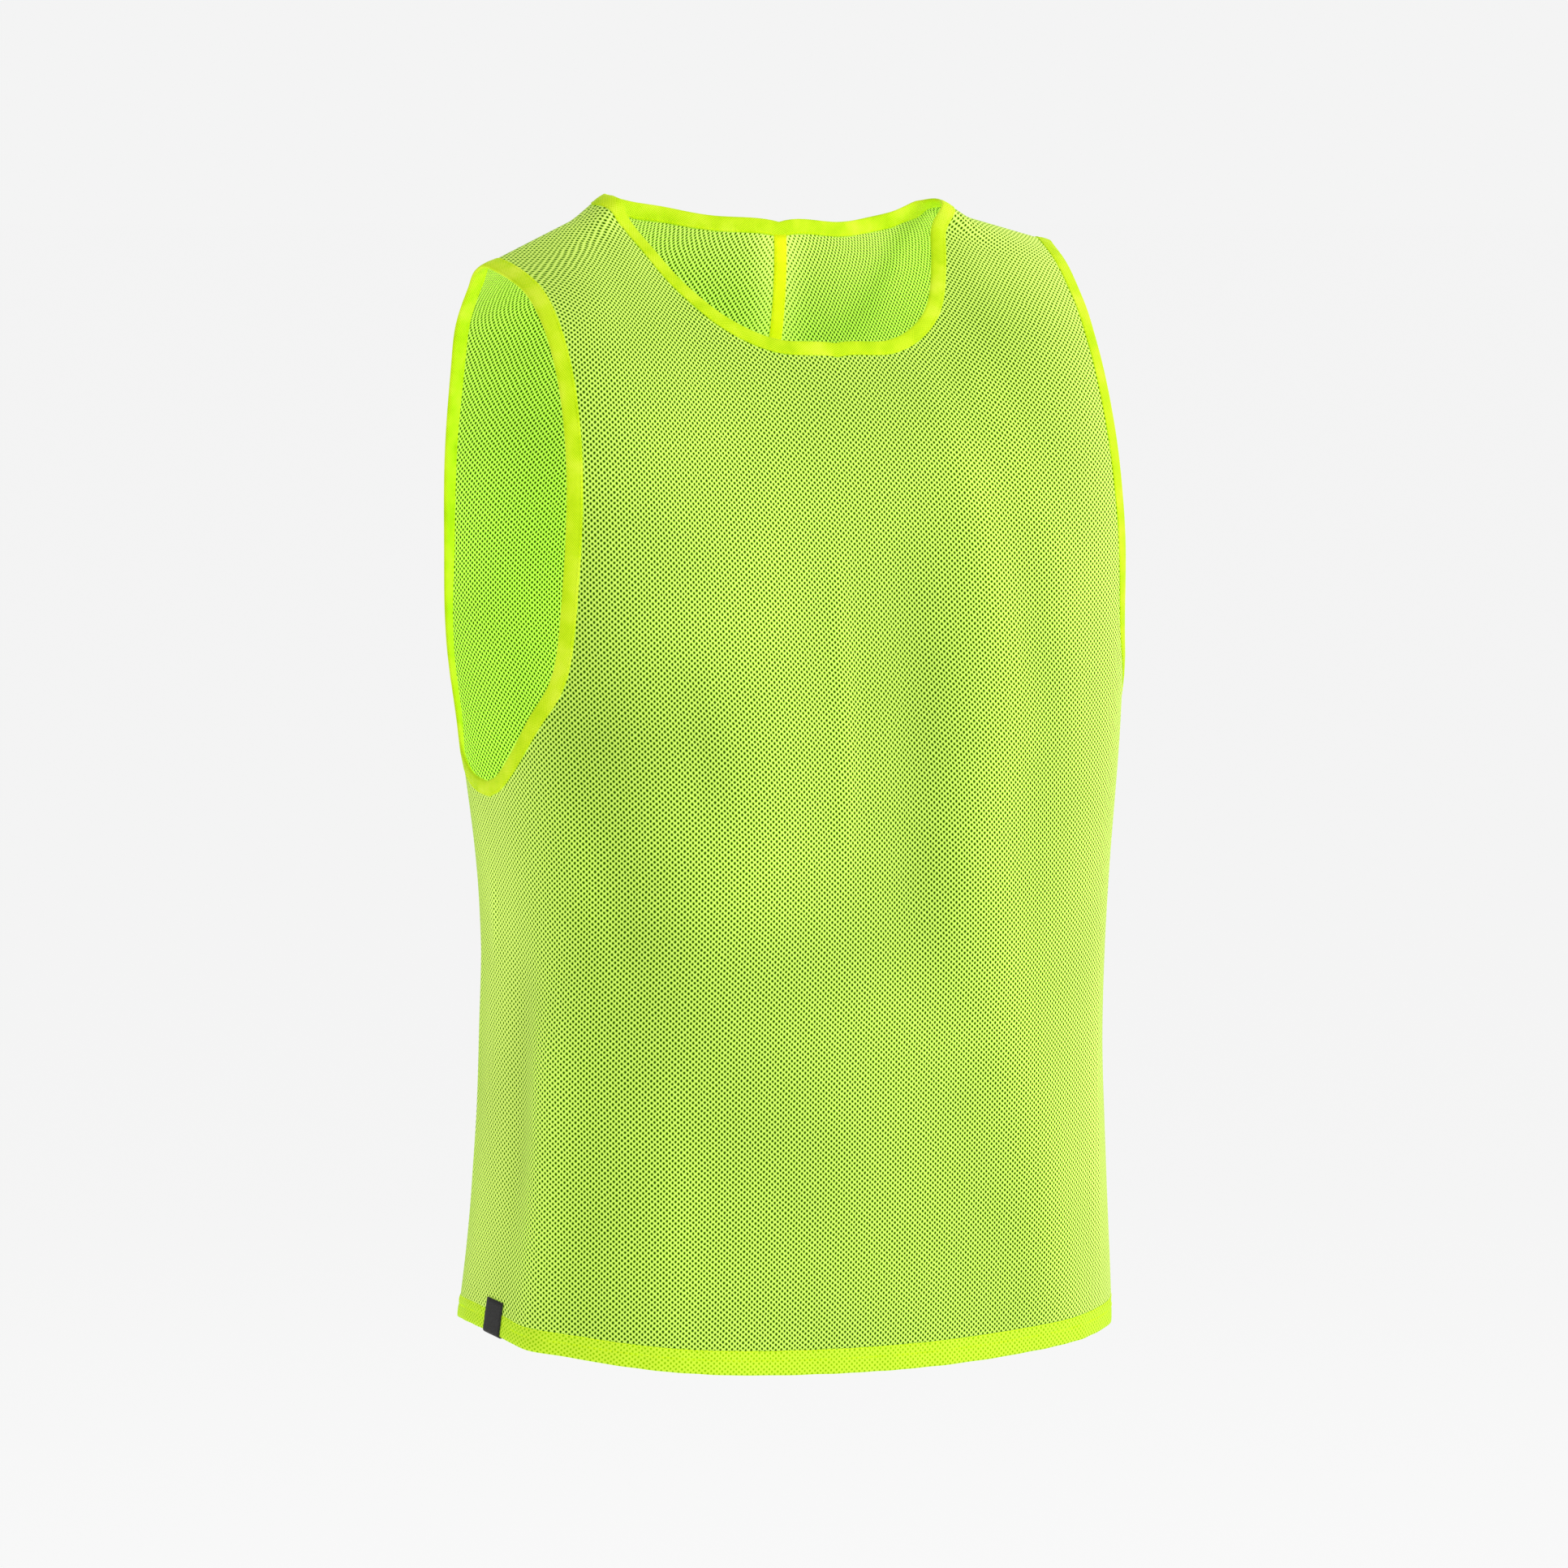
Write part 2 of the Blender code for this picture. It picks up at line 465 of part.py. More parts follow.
def label_mesh(patch):
    """Label folded under the hem: points on both sides of one upright line's two faces, moved off them."""
    outer, inner, normal = walls(mirrored(patch))
    sides = []
    for turn in (-1, 0, 1):
        k = LABEL_LINE
        share = 0.5 * LABEL_WIDTH / np.linalg.norm(outer[0, k + turn] - outer[0, k]) if turn else 0.0
        out = (1 - share) * outer[:, k] + share * outer[:, k + turn]
        inn = (1 - share) * inner[:, k] + share * inner[:, k + turn]
        way = (1 - share) * normal[:, k] + share * normal[:, k + turn]
        up = (out[1] - out[0]) / np.linalg.norm(out[1] - out[0])
        rise = np.linalg.norm(out[3] - out[2])
        top_share = (LABEL_RISE - HEM_DEPTH - 0.0015) / rise
        top = (1 - top_share) * out[2] + top_share * out[3]
        tuck = inn[0] + up * 0.009
        pairs = []
        for gap in (SEAM_GAP, SEAM_GAP + LABEL_WALL):
            pairs.append([top + gap * way[2], out[2] + gap * way[2], out[1] + gap * way[1],
                          out[0] + gap * (way[0] - up), inn[0] - gap * (way[0] + up),
                          tuck - gap * way[0]])
        sides.append(pairs)
    near = [pairs[0] for pairs in sides]
    far = [pairs[1] for pairs in sides[::-1]]
    ring = np.array([list(places) for places in zip(*near, *far)])
    quads = tube_quads(len(ring), 6)
    last = (len(ring) - 1) * 6
    ends = np.array([(5, 4, 1, 0), (4, 3, 2, 1), (last, last + 1, last + 4, last + 5),
                     (last + 1, last + 2, last + 3, last + 4)])
    return ring.reshape(-1, 3), np.concatenate([quads, ends])


def make_node(name, points, faces, colour, roughness):
    """Mesh object with its own material, faces turned outward."""
    mesh = bpy.data.meshes.new(name)
    mesh.from_pydata([tuple(map(float, p)) for p in points], [], [tuple(map(int, f)) for f in faces])
    mesh.validate()
    volume = 0.0
    for face in mesh.polygons:
        corners = [mesh.vertices[v].co for v in face.vertices]
        for k in range(1, len(corners) - 1):
            volume += corners[0].dot(corners[k].cross(corners[k + 1]))
    if volume < 0.0:
        mesh.flip_normals()
    node = bpy.data.objects.new(name, mesh)
    bpy.context.scene.collection.objects.link(node)
    material = bpy.data.materials.new(name + "_material")
    material.use_nodes = True
    shader = material.node_tree.nodes["Principled BSDF"]
    shader.inputs["Base Color"].default_value = colour
    shader.inputs["Roughness"].default_value = roughness
    mesh.materials.append(material)
    return node


for old in list(bpy.data.objects):
    bpy.data.objects.remove(old, do_unlink=True)

LIME = (0.42, 0.86, 0.06, 1.0)
YELLOW = (0.62, 0.90, 0.01, 1.0)
BLACK = (0.01, 0.01, 0.01, 1.0)

body_points, body_faces = body_mesh()
make_node("body", body_points, body_faces, LIME, 0.8)

PATCHES, NECK, NECK_IN, ARM, ARM_IN = chart()
make_node("neck_binding", *binding_mesh(NECK, NECK_IN), YELLOW, 0.7)
make_node("armhole_binding_left", *binding_mesh(ARM, ARM_IN), YELLOW, 0.7)
make_node("armhole_binding_right", *binding_mesh(mirrored(ARM), mirrored(ARM_IN)), YELLOW, 0.7)
make_node("back_seam_tape", *tape_mesh(PATCHES[4]), YELLOW, 0.7)
make_node("side_label", *label_mesh(PATCHES[2]), BLACK, 0.8)
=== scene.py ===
"""Looks of the training bib: mesh body, turned hem, bindings, seam tape, label and sewing."""
import bpy
import math
import numpy as np
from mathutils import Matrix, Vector


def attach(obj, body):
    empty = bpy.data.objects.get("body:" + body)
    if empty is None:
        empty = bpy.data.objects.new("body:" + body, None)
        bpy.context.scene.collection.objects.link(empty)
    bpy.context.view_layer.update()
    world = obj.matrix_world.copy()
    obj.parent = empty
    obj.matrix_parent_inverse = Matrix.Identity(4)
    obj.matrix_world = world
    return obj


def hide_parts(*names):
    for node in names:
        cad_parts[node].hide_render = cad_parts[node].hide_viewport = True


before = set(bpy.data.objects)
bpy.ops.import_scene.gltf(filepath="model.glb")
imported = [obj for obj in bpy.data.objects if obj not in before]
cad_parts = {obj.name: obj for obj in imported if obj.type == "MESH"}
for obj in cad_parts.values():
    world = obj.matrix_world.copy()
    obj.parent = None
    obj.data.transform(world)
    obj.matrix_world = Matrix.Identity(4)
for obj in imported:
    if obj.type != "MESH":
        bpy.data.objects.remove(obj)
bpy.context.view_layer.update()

# Camera: the photograph's place to the front right of the bib, a long lens, level with its shoulders.
# The square frame takes in 0.927 m at the bib.
CAMERA_AT = Vector((-1.4084, -2.6488, 0.060))
CAMERA_AIM = Vector((0.0, -0.012, -0.345))
camera_data = bpy.data.cameras.new("studio_camera")
camera_data.sensor_width = 36.0
camera_data.lens = 117.1
camera_data.shift_y = -0.001
camera = bpy.data.objects.new("studio_camera", camera_data)
camera.location = CAMERA_AT
camera.rotation_mode = "QUATERNION"
camera.rotation_quaternion = (CAMERA_AIM - CAMERA_AT).to_track_quat("-Z", "Y")
bpy.context.scene.collection.objects.link(camera)
bpy.context.scene.camera = camera
bpy.context.scene.view_settings.view_transform = "Standard"


# Studio: an even pale surround, a pale matt floor far under the hem, and three large soft lights.
# The floor glows a little, so that it is as pale as the surround and has no visible horizon.
def linear(code):
    """Linear colour of an sRGB hex code: the curve's straight foot below 0.04045, its power above."""
    parts = np.array([int(code[k:k + 2], 16) / 255.0 for k in (1, 3, 5)])
    low = parts / 12.92
    high = ((parts + 0.055) / 1.055) ** 2.4
    return (*np.where(parts <= 0.04045, low, high).tolist(), 1.0)


def add(tree, kind, settings=None, links=None, **values):
    """Add one node: its settings, the values of its sockets, and what is linked to its sockets."""
    item = tree.nodes.new(kind)
    for key, value in (settings or {}).items():
        setattr(item, key, value)
    for key, value in values.items():
        socket = int(key[1:]) if key[1:].isdigit() else key.replace("_", " ")
        item.inputs[socket].default_value = value
    for key, source in (links or {}).items():
        tree.links.new(source, item.inputs[key])
    return item


def new_material(name):
    """Node material with its tree and its Principled shader."""
    made = bpy.data.materials.new(name)
    made.use_nodes = True
    return made, made.node_tree, made.node_tree.nodes["Principled BSDF"]


surround = bpy.data.worlds.new("pale_surround")
surround.use_nodes = True
seen = surround.node_tree.nodes["Background"]
seen.inputs["Color"].default_value = linear("#F4F4F4")
seen.inputs["Strength"].default_value = 1.0
lighting = add(surround.node_tree, "ShaderNodeBackground", Color=(1.0, 1.0, 1.0, 1.0), Strength=0.46)
straight = add(surround.node_tree, "ShaderNodeLightPath")
both = add(surround.node_tree, "ShaderNodeMixShader", None,
           {0: straight.outputs["Is Camera Ray"], 1: lighting.outputs[0], 2: seen.outputs[0]})
surround.node_tree.links.new(both.outputs[0], surround.node_tree.nodes["World Output"].inputs["Surface"])
bpy.context.scene.world = surround

FLOOR_Z = -1.55
ring = np.linspace(0.0, 2.0 * math.pi, 97)[:-1]
rim = np.stack([60.0 * np.cos(ring), 60.0 * np.sin(ring), np.full(96, FLOOR_Z)], axis=-1)
floor_mesh = bpy.data.meshes.new("studio_floor")
floor_mesh.from_pydata(rim.tolist(), [], [list(range(96))])
floor = bpy.data.objects.new("studio_floor", floor_mesh)
bpy.context.scene.collection.objects.link(floor)
floor_paint, _, paint = new_material("matt_white_floor_paint")
paint.inputs["Base Color"].default_value = (0.20, 0.20, 0.20, 1.0)
paint.inputs["Roughness"].default_value = 1.0
paint.inputs["Specular IOR Level"].default_value = 0.0
paint.inputs["Emission Color"].default_value = (1.0, 1.0, 1.0, 1.0)
paint.inputs["Emission Strength"].default_value = 0.81
floor_mesh.materials.append(floor_paint)

for light_name, place, wide, watts in (
    ("key_from_the_left_of_the_wearer", (2.1, -2.3, 1.5), 1.6, 58.0),
    ("fill_from_behind", (1.2, 2.6, 1.2), 2.0, 14.0),
    ("soft_side", (-3.0, -0.6, 0.4), 1.6, 6.0),
):
    soft = bpy.data.lights.new(light_name, "AREA")
    soft.size = wide
    soft.energy = watts
    lamp = bpy.data.objects.new(light_name, soft)
    lamp.location = place
    lamp.rotation_mode = "QUATERNION"
    lamp.rotation_quaternion = (Vector((0.0, 0.0, -0.34)) - Vector(place)).to_track_quat("-Z", "Y")
    lamp.visible_camera = False
    bpy.context.scene.collection.objects.link(lamp)


# Body: one piece of knitted polyester mesh wrapped round, filled out as if worn.
# Its middle is the same chart of angle and level as the solid's, on a finer grid, with the thin
# creases that the solid leaves out. The cloth is a closed shell 0.5 mm thick.
NECK_HALF = 0.111        # half the width of the neck at the shoulders
TIP_HALF = 0.186         # half the width from shoulder tip to shoulder tip
SHOULDER_FALL = 0.400    # fall of the shoulder line for each metre outward
NECK_STAND = 0.005       # how far the neck edge stands above the shoulder line beside it
LEFT_DROP = 0.0045       # how much lower the neck's left point lies, as the bib hangs unevenly
LEFT_FLATTER = 0.130     # how much less the left shoulder falls for each metre outward
RIGHT_STEEPER = 0.050    # how much more the right shoulder falls for each metre outward
CHEST_TWIST = 0.045      # how far the upper front turns back on the left, for each metre outward
HEM_LEVEL = 0.702        # level of the hem's fold
HEM_DEPTH = 0.015        # height of the turned-up hem
BIND_DEPTH = 0.0075      # how far a binding's leg reaches onto the cloth
CLOTH_HALF = 0.00025     # half the thickness of the mesh cloth
FRONT_COLUMNS = 24       # columns and rows of the grid, counted per half as on the solid
STRAP_COLUMNS = 15
SIDE_COLUMNS = 28
BACK_COLUMNS = 24
LOW_ROWS = 78
MID_ROWS = 38
TOP_ROWS = 20
MID_ROWS_BACK = 46
TOP_ROWS_BACK = 12

# Sections of the garment, one row per level below the shoulder line
# level, drop, half_width, front_depth, back_depth, lean, front_square, back_square, fall_share,
# front_hollow, back_hollow
SECTIONS = np.array([
    (-0.012, 0.003, 0.203, -0.012, -0.011, 0.000, 5.0, 5.0, 1.00, 0.000, 0.000),
    (0.000, 0.000, 0.203, 0.000, 0.000, 0.000, 5.0, 5.0, 1.00, 0.000, 0.000),
    (0.012, 0.003, 0.203, 0.012, 0.011, 0.000, 5.0, 5.0, 1.00, 0.000, 0.000),
    (0.030, 0.015, 0.203, 0.038, 0.020, 0.000, 5.0, 5.0, 0.92, 0.042, 0.014),
    (0.060, 0.039, 0.203, 0.066, 0.039, 0.000, 5.0, 5.0, 0.78, 0.050, 0.044),
    (0.100, 0.074, 0.203, 0.088, 0.048, 0.000, 5.0, 5.0, 0.58, 0.033, 0.054),
    (0.150, 0.123, 0.204, 0.104, 0.061, -0.002, 4.8, 4.8, 0.36, 0.019, 0.052),
    (0.210, 0.183, 0.205, 0.112, 0.073, -0.006, 4.3, 4.3, 0.18, 0.012, 0.034),
    (0.280, 0.253, 0.203, 0.112, 0.090, -0.013, 3.6, 3.6, 0.06, 0.006, 0.016),
    (0.350, 0.323, 0.199, 0.109, 0.099, -0.025, 3.0, 3.1, 0.01, 0.000, 0.005),
    (0.430, 0.403, 0.193, 0.110, 0.101, -0.030, 2.7, 2.8, 0.00, 0.000, 0.001),
    (0.520, 0.493, 0.193, 0.110, 0.099, -0.027, 2.6, 2.7, 0.00, 0.000, 0.000),
    (0.610, 0.583, 0.197, 0.112, 0.099, -0.024, 2.6, 2.7, 0.00, 0.000, 0.000),
    (0.704, 0.677, 0.205, 0.115, 0.101, -0.018, 2.6, 2.7, 0.00, 0.000, 0.000),
    (0.734, 0.707, 0.207, 0.115, 0.101, -0.016, 2.6, 2.7, 0.00, 0.000, 0.000),
])

# Rise of the hem round the body: degrees from the centre front, metres
HEM_RISE = np.array([
    (-180.0, 0.006), (-135.0, 0.016), (-95.0, 0.026), (-62.0, 0.0228), (-25.0, 0.0075), (0.0, 0.0005),
    (45.0, -0.0025), (90.0, -0.0035), (135.0, 0.001), (180.0, 0.006),
])

# Neck edge from the centre to the shoulder line: step, x, level
NECK_FRONT = np.array([
    (0.00, 0.000, 0.1270), (0.21, 0.038, 0.1210), (0.40, 0.065, 0.1045), (0.58, 0.083, 0.082),
    (0.78, 0.0975, 0.048), (0.92, 0.106, 0.020), (1.00, NECK_HALF, 0.000),
])
NECK_BACK = np.array([
    (0.00, 0.000, 0.0645), (0.20, 0.040, 0.054), (0.40, 0.072, 0.037), (0.60, 0.092, 0.024),
    (0.80, 0.104, 0.012), (1.00, NECK_HALF, 0.000),
])
NECK_CORNER = 0.52
NECK_BACK_CORNER = 0.52

# Armhole edge from the bottom of the curve to the shoulder tip: step, x, level
ARM_FRONT = np.array([
    (0.45, 0.187, 0.288), (0.60, 0.183, 0.228), (0.75, 0.180, 0.155),
    (0.88, 0.180, 0.075), (0.95, 0.181, 0.030), (1.00, TIP_HALF, 0.000),
])
ARM_BACK = np.array([
    (0.45, 0.193, 0.288), (0.60, 0.192, 0.228), (0.75, 0.193, 0.155),
    (0.88, 0.192, 0.075), (0.95, 0.189, 0.030), (1.00, TIP_HALF, 0.000),
])
# The curve under the arm: step, degrees from the side line, level
ARM_FRONT_LOW = np.array([(0.00, 0.0, 0.357), (0.16, 13.5, 0.3445), (0.32, 27.0, 0.316)])
ARM_BACK_LOW = np.array([(0.00, 0.0, 0.358), (0.16, 16.0, 0.353), (0.32, 29.0, 0.331)])
ARM_CORNER = 0.30

# Folds and creases: degrees at the top, degrees at the bottom, level from, level to, half width in
# degrees, height (outward is plus)
FOLDS = np.array([
    (10.0, 5.0, 0.200, 0.500, 6.5, -0.0045),     # hollow beside the centre front
    (23.0, 22.0, 0.120, 0.420, 6.5, 0.0035),     # ridge hanging from the left of the neck
    (14.0, 41.0, 0.330, 0.740, 8.0, 0.0045),     # long ridge to the left end of the hem
    (-14.0, -24.0, 0.160, 0.480, 9.0, 0.0030),   # soft fullness over the right chest
    (-50.0, -46.0, 0.250, 0.560, 9.0, -0.0030),  # soft hollow under the right armhole
    (-80.0, -77.0, 0.400, 0.660, 8.0, -0.0045),  # hollow down the right side
    (-67.0, -63.0, 0.460, 0.790, 7.5, 0.0060),   # ridge ending in the wave of the hem
    (72.0, 78.0, 0.330, 0.600, 9.0, -0.0040),    # hollow under the left armhole
    (158.0, 150.0, 0.140, 0.520, 10.0, 0.0050),  # back ridge from the left shoulder blade
    (-160.0, -150.0, 0.180, 0.600, 10.0, 0.0045),  # back ridge from the right shoulder blade
    (136.0, 122.0, 0.300, 0.790, 9.0, 0.0060),   # back ridge to the left end of the hem
    (-128.0, -134.0, 0.360, 0.790, 9.0, 0.0055),  # back ridge to the right end of the hem
    (173.0, 168.0, 0.330, 0.720, 7.0, -0.0035),  # hollow beside the centre-back seam
    (-4.0, -9.0, 0.190, 0.450, 1.9, 0.0017),     # thin crease right of the centre front
    (-95.5, -96.0, 0.400, 0.470, 2.2, 0.0014),   # short crease under the right arm
    (15.0, 27.0, 0.090, 0.360, 2.8, 0.0012),     # pull lines from the left of the neck
    (22.0, 35.0, 0.070, 0.300, 2.6, 0.0011),
    (31.0, 40.0, 0.150, 0.400, 3.2, 0.0010),
    (-33.0, -28.0, 0.240, 0.420, 2.6, -0.0009),  # soft lines on the right chest
    (-62.0, -44.0, 0.330, 0.520, 3.0, 0.0012),
    (52.0, 50.0, 0.420, 0.700, 3.4, 0.0013),     # lines down the left side of the front
    (62.0, 61.0, 0.380, 0.640, 2.8, -0.0010),
    (-38.0, -35.0, 0.500, 0.720, 3.6, 0.0011),
    (166.0, 160.0, 0.080, 0.300, 2.6, 0.0012),   # pull lines from the back of the neck
    (-168.0, -157.0, 0.090, 0.340, 2.8, 0.0012),
    (-145.0, -140.0, 0.260, 0.520, 3.0, -0.0010),
    (142.0, 136.0, 0.220, 0.470, 2.8, 0.0010),
    (-110.0, -114.0, 0.420, 0.680, 3.0, 0.0012),
    (104.0, 109.0, 0.400, 0.660, 3.2, 0.0012),
])


def along(table, where):
    """Smooth value of every further column of a table at places given in its first column: cubic
    pieces whose slope at a row is the mean of the slopes beside it, each weighed by the other's step."""
    table = np.asarray(table, float)
    where = np.asarray(where, float)
    x = table[:, 0]
    y = table[:, 1:]
    step = np.diff(x)[:, None]
    rise = np.diff(y, axis=0) / step
    slope = np.empty_like(y)
    slope[0] = rise[0]
    slope[-1] = rise[-1]
    slope[1:-1] = (rise[:-1] * step[1:] + rise[1:] * step[:-1]) / (step[:-1] + step[1:])
    k = np.clip(np.searchsorted(x, where, side="right") - 1, 0, len(x) - 2)
    span = (x[k + 1] - x[k])[..., None]
    u = (where[..., None] - x[k][..., None]) / span
    out = (2 * u ** 3 - 3 * u ** 2 + 1) * y[k] + (u ** 3 - 2 * u ** 2 + u) * span * slope[k]
    out = out + (3 * u ** 2 - 2 * u ** 3) * y[k + 1] + (u ** 3 - u ** 2) * span * slope[k + 1]
    return out


def angle_of(x, level, front):
    """Angle round the body, 0 at the centre front, of a place x on the section of a level: with the
    share x takes of the half width, the arc tangent of the share over what the rounded square leaves."""
    values = along(SECTIONS, level)
    square = values[..., 5] if front else values[..., 6]
    share = np.clip(np.abs(x) / values[..., 1], 0.0, 0.9999)
    other = (1.0 - share ** square) ** (1.0 / square)
    angle = np.arctan2(share, other)
    return angle if front else math.pi - angle


def fullness(degrees, level, power):
    """Sum of the folds at a place: each is its height, raised to a power with its sign kept, times the
    bell curve of the angle from its line, times a smooth step at its upper and its lower end."""
    total = np.zeros_like(degrees + level)
    for top_angle, low_angle, top, low, width, height in FOLDS:
        part = np.clip((level - top) / (low - top), 0.0, 1.0)
        centre = top_angle + (low_angle - top_angle) * part
        gap = (degrees - centre + 180.0) % 360.0 - 180.0
        reach = min(0.09, 0.45 * (low - top))
        ends = np.clip((level - top) / reach, 0.0, 1.0) * np.clip((low - level) / reach, 0.0, 1.0)
        size = math.copysign(abs(height) ** power, height)
        total = total + size * np.exp(-(gap / width) ** 2) * ends * ends * (3.0 - 2.0 * ends)
    return total


def middle(angle, level):
    """Middle of the cloth at an angle round the body and a level below the shoulder line.

    A rounded square of the level's half width and depth, moved by the lean, twisted at the upper front
    and pressed in by bell curves of x at the hollows. Its height is the level's drop, less a share of
    the shoulder line's fall, plus the hem's rise times the square of the way down. The folds push it
    out along the angle."""
    values = along(SECTIONS, level)
    drop, half, front, back, lean = np.moveaxis(values[..., :5], -1, 0)
    square_f, square_b, share, hollow_f, hollow_b = np.moveaxis(values[..., 5:], -1, 0)
    sine = np.sin(angle)
    cosine = np.cos(angle)
    facing = cosine >= 0.0
    square = np.where(facing, square_f, square_b)
    size = (np.abs(sine) ** square + np.abs(cosine) ** square) ** (-1.0 / square)
    x = half * size * sine
    y = lean - np.where(facing, front, back) * size * cosine
    pulled = level / 0.075 * np.exp(1.0 - level / 0.075) * np.clip(2.0 * cosine, 0.0, 1.0)
    y = y + CHEST_TWIST * x * pulled * pulled
    y = y + np.where(facing, hollow_f * np.exp(-(x / 0.125) ** 4), -hollow_b * np.exp(-(x / 0.125) ** 2))
    line = SHOULDER_FALL * (np.sqrt(x ** 2 + 0.0009) - math.sqrt(NECK_HALF ** 2 + 0.0009))
    beside = np.clip((np.abs(x) - NECK_HALF + 0.002) / 0.022, 0.0, 1.0)
    line = line + NECK_STAND * beside * beside * (3.0 - 2.0 * beside)
    left = np.clip(x / 0.09, 0.0, 1.0)
    line = line + left * left * (3.0 - 2.0 * left) * (LEFT_DROP - LEFT_FLATTER * (x - NECK_HALF))
    line = line + RIGHT_STEEPER * np.maximum(-x - NECK_HALF, 0.0)
    degrees = (np.degrees(angle) + 180.0) % 360.0 - 180.0
    low = np.clip((level - 0.42) / (HEM_LEVEL - 0.42), 0.0, 1.1)
    z = -drop - share * line + along(HEM_RISE, degrees)[..., 0] * low * low
    push = fullness(degrees, level, 1.0)
    return np.stack([x + push * sine, y - push * cosine, z], axis=-1)


def unit(vectors):
    """Vectors divided by their own lengths."""
    return vectors / np.linalg.norm(vectors, axis=-1, keepdims=True)


def outward(angle, level):
    """Unit normal of the cloth, away from the hollow: the cross product of its steps down and across."""
    small = 0.0008
    high = np.maximum(level - small, 0.0)
    across = middle(angle + 0.004, level) - middle(angle - 0.004, level)
    down = middle(angle, level + small) - middle(angle, high)
    return unit(np.cross(down, across))


def arm_curve(front):
    """Steps, angles and levels of one face's armhole edge, from under the arm to the shoulder."""
    high = ARM_FRONT if front else ARM_BACK
    low = ARM_FRONT_LOW if front else ARM_BACK_LOW
    side = -1.0 if front else 1.0
    upper = np.stack([high[:, 0], angle_of(high[:, 1], high[:, 2], front), high[:, 2]], axis=-1)
    lower = np.stack([low[:, 0], 0.5 * math.pi + side * np.radians(low[:, 1]), low[:, 2]], axis=-1)
    mirror = lower[1:2] * np.array([-1.0, 1.0, 1.0])
    mirror[:, 1] = math.pi - mirror[:, 1]
    return np.concatenate([mirror, lower, upper])


def arm_side(front, mid_rows, top_rows, turn_level):
    """Chart points up one face's armhole edge, from its corner to the shoulder tip."""
    dense = np.linspace(ARM_CORNER, 1.0, 600)
    values = along(arm_curve(front), dense)
    levels = np.concatenate([np.linspace(values[0, 1], turn_level, mid_rows + 1),
                             np.linspace(turn_level, 0.0, top_rows + 1)[1:]])
    steps = np.interp(-levels, -values[:, 1], dense)
    points = along(arm_curve(front), steps)
    points[-1, 1] = 0.0
    return points


def arm_under():
    """Chart points round the bottom of the armhole, from the front corner to the back corner."""
    steps = np.linspace(-ARM_CORNER, ARM_CORNER, SIDE_COLUMNS + 1)
    front = along(arm_curve(True), np.abs(steps))
    back = along(arm_curve(False), np.abs(steps))
    return np.where(steps[:, None] < 0.0, front, back)


def neck_run(start, end, count, front):
    """Chart points on the neck edge of one face between two of its steps."""
    values = along(NECK_FRONT if front else NECK_BACK, np.linspace(start, end, count + 1))
    level = np.maximum(values[:, 1], 0.0)
    return np.stack([angle_of(np.maximum(values[:, 0], 0.0), level, front), level], axis=-1)


def inset(loop, depth):
    """Closed chart loop moved into the cloth by a depth, square to the edge: the step in metres is
    solved for its shares along the two chart directions."""
    angle = loop[:, 0]
    level = loop[:, 1]
    place = middle(angle, level)
    run = unit(np.roll(place, -1, axis=0) - np.roll(place, 1, axis=0))
    inward = np.cross(outward(angle, level), run)
    by_angle = (middle(angle + 0.003, level) - middle(angle - 0.003, level)) / 0.006
    low = np.maximum(level - 0.0005, 0.0)
    by_level = (middle(angle, level + 0.0005) - middle(angle, low)) / (level + 0.0005 - low)[:, None]
    aa = np.sum(by_angle * by_angle, axis=1)
    al = np.sum(by_angle * by_level, axis=1)
    ll = np.sum(by_level * by_level, axis=1)
    ra = np.sum(by_angle * inward, axis=1) * depth
    rl = np.sum(by_level * inward, axis=1) * depth
    fall = aa * ll - al * al
    moved = np.stack([angle + (ra * ll - rl * al) / fall, level + (rl * aa - ra * al) / fall], axis=-1)
    moved[:, 1] = np.where(level <= 0.0, 0.0, moved[:, 1])
    return moved


def ladder(start_angle, top, extra=None):
    """Chart points from the hem's fold straight up to a point, the turned hem's rows first."""
    high = HEM_LEVEL - HEM_DEPTH - 0.0015
    hem_rows = np.array([(start_angle, HEM_LEVEL), (start_angle, HEM_LEVEL - HEM_DEPTH)])
    share = np.linspace(0.0, 1.0, (LOW_ROWS if extra is None else LOW_ROWS + extra) + 1)[:, None]
    return np.concatenate([hem_rows, (1 - share) * np.array([start_angle, high]) + share * top])


def blend(left, right, bottom, top):
    """Chart patch between two upright edges, its bottom and top rows laid on two more edges."""
    across = np.linspace(0.0, 1.0, len(bottom))[None, :, None]
    up = np.clip((np.arange(len(left)) - 2.0) / (len(left) - 3.0), 0.0, 1.0)[:, None, None]
    grid = (1 - across) * left[:, None] + across * right[:, None]
    low = bottom[None] - ((1 - across) * bottom[0] + across * bottom[-1])
    high = top[None] - ((1 - across) * top[0] + across * top[-1])
    return grid + (1 - up) * low + up * high


def line(start, end, count):
    """Chart points evenly on a straight line."""
    share = np.linspace(0.0, 1.0, count + 1)[:, None]
    return (1 - share) * np.asarray(start, float) + share * np.asarray(end, float)


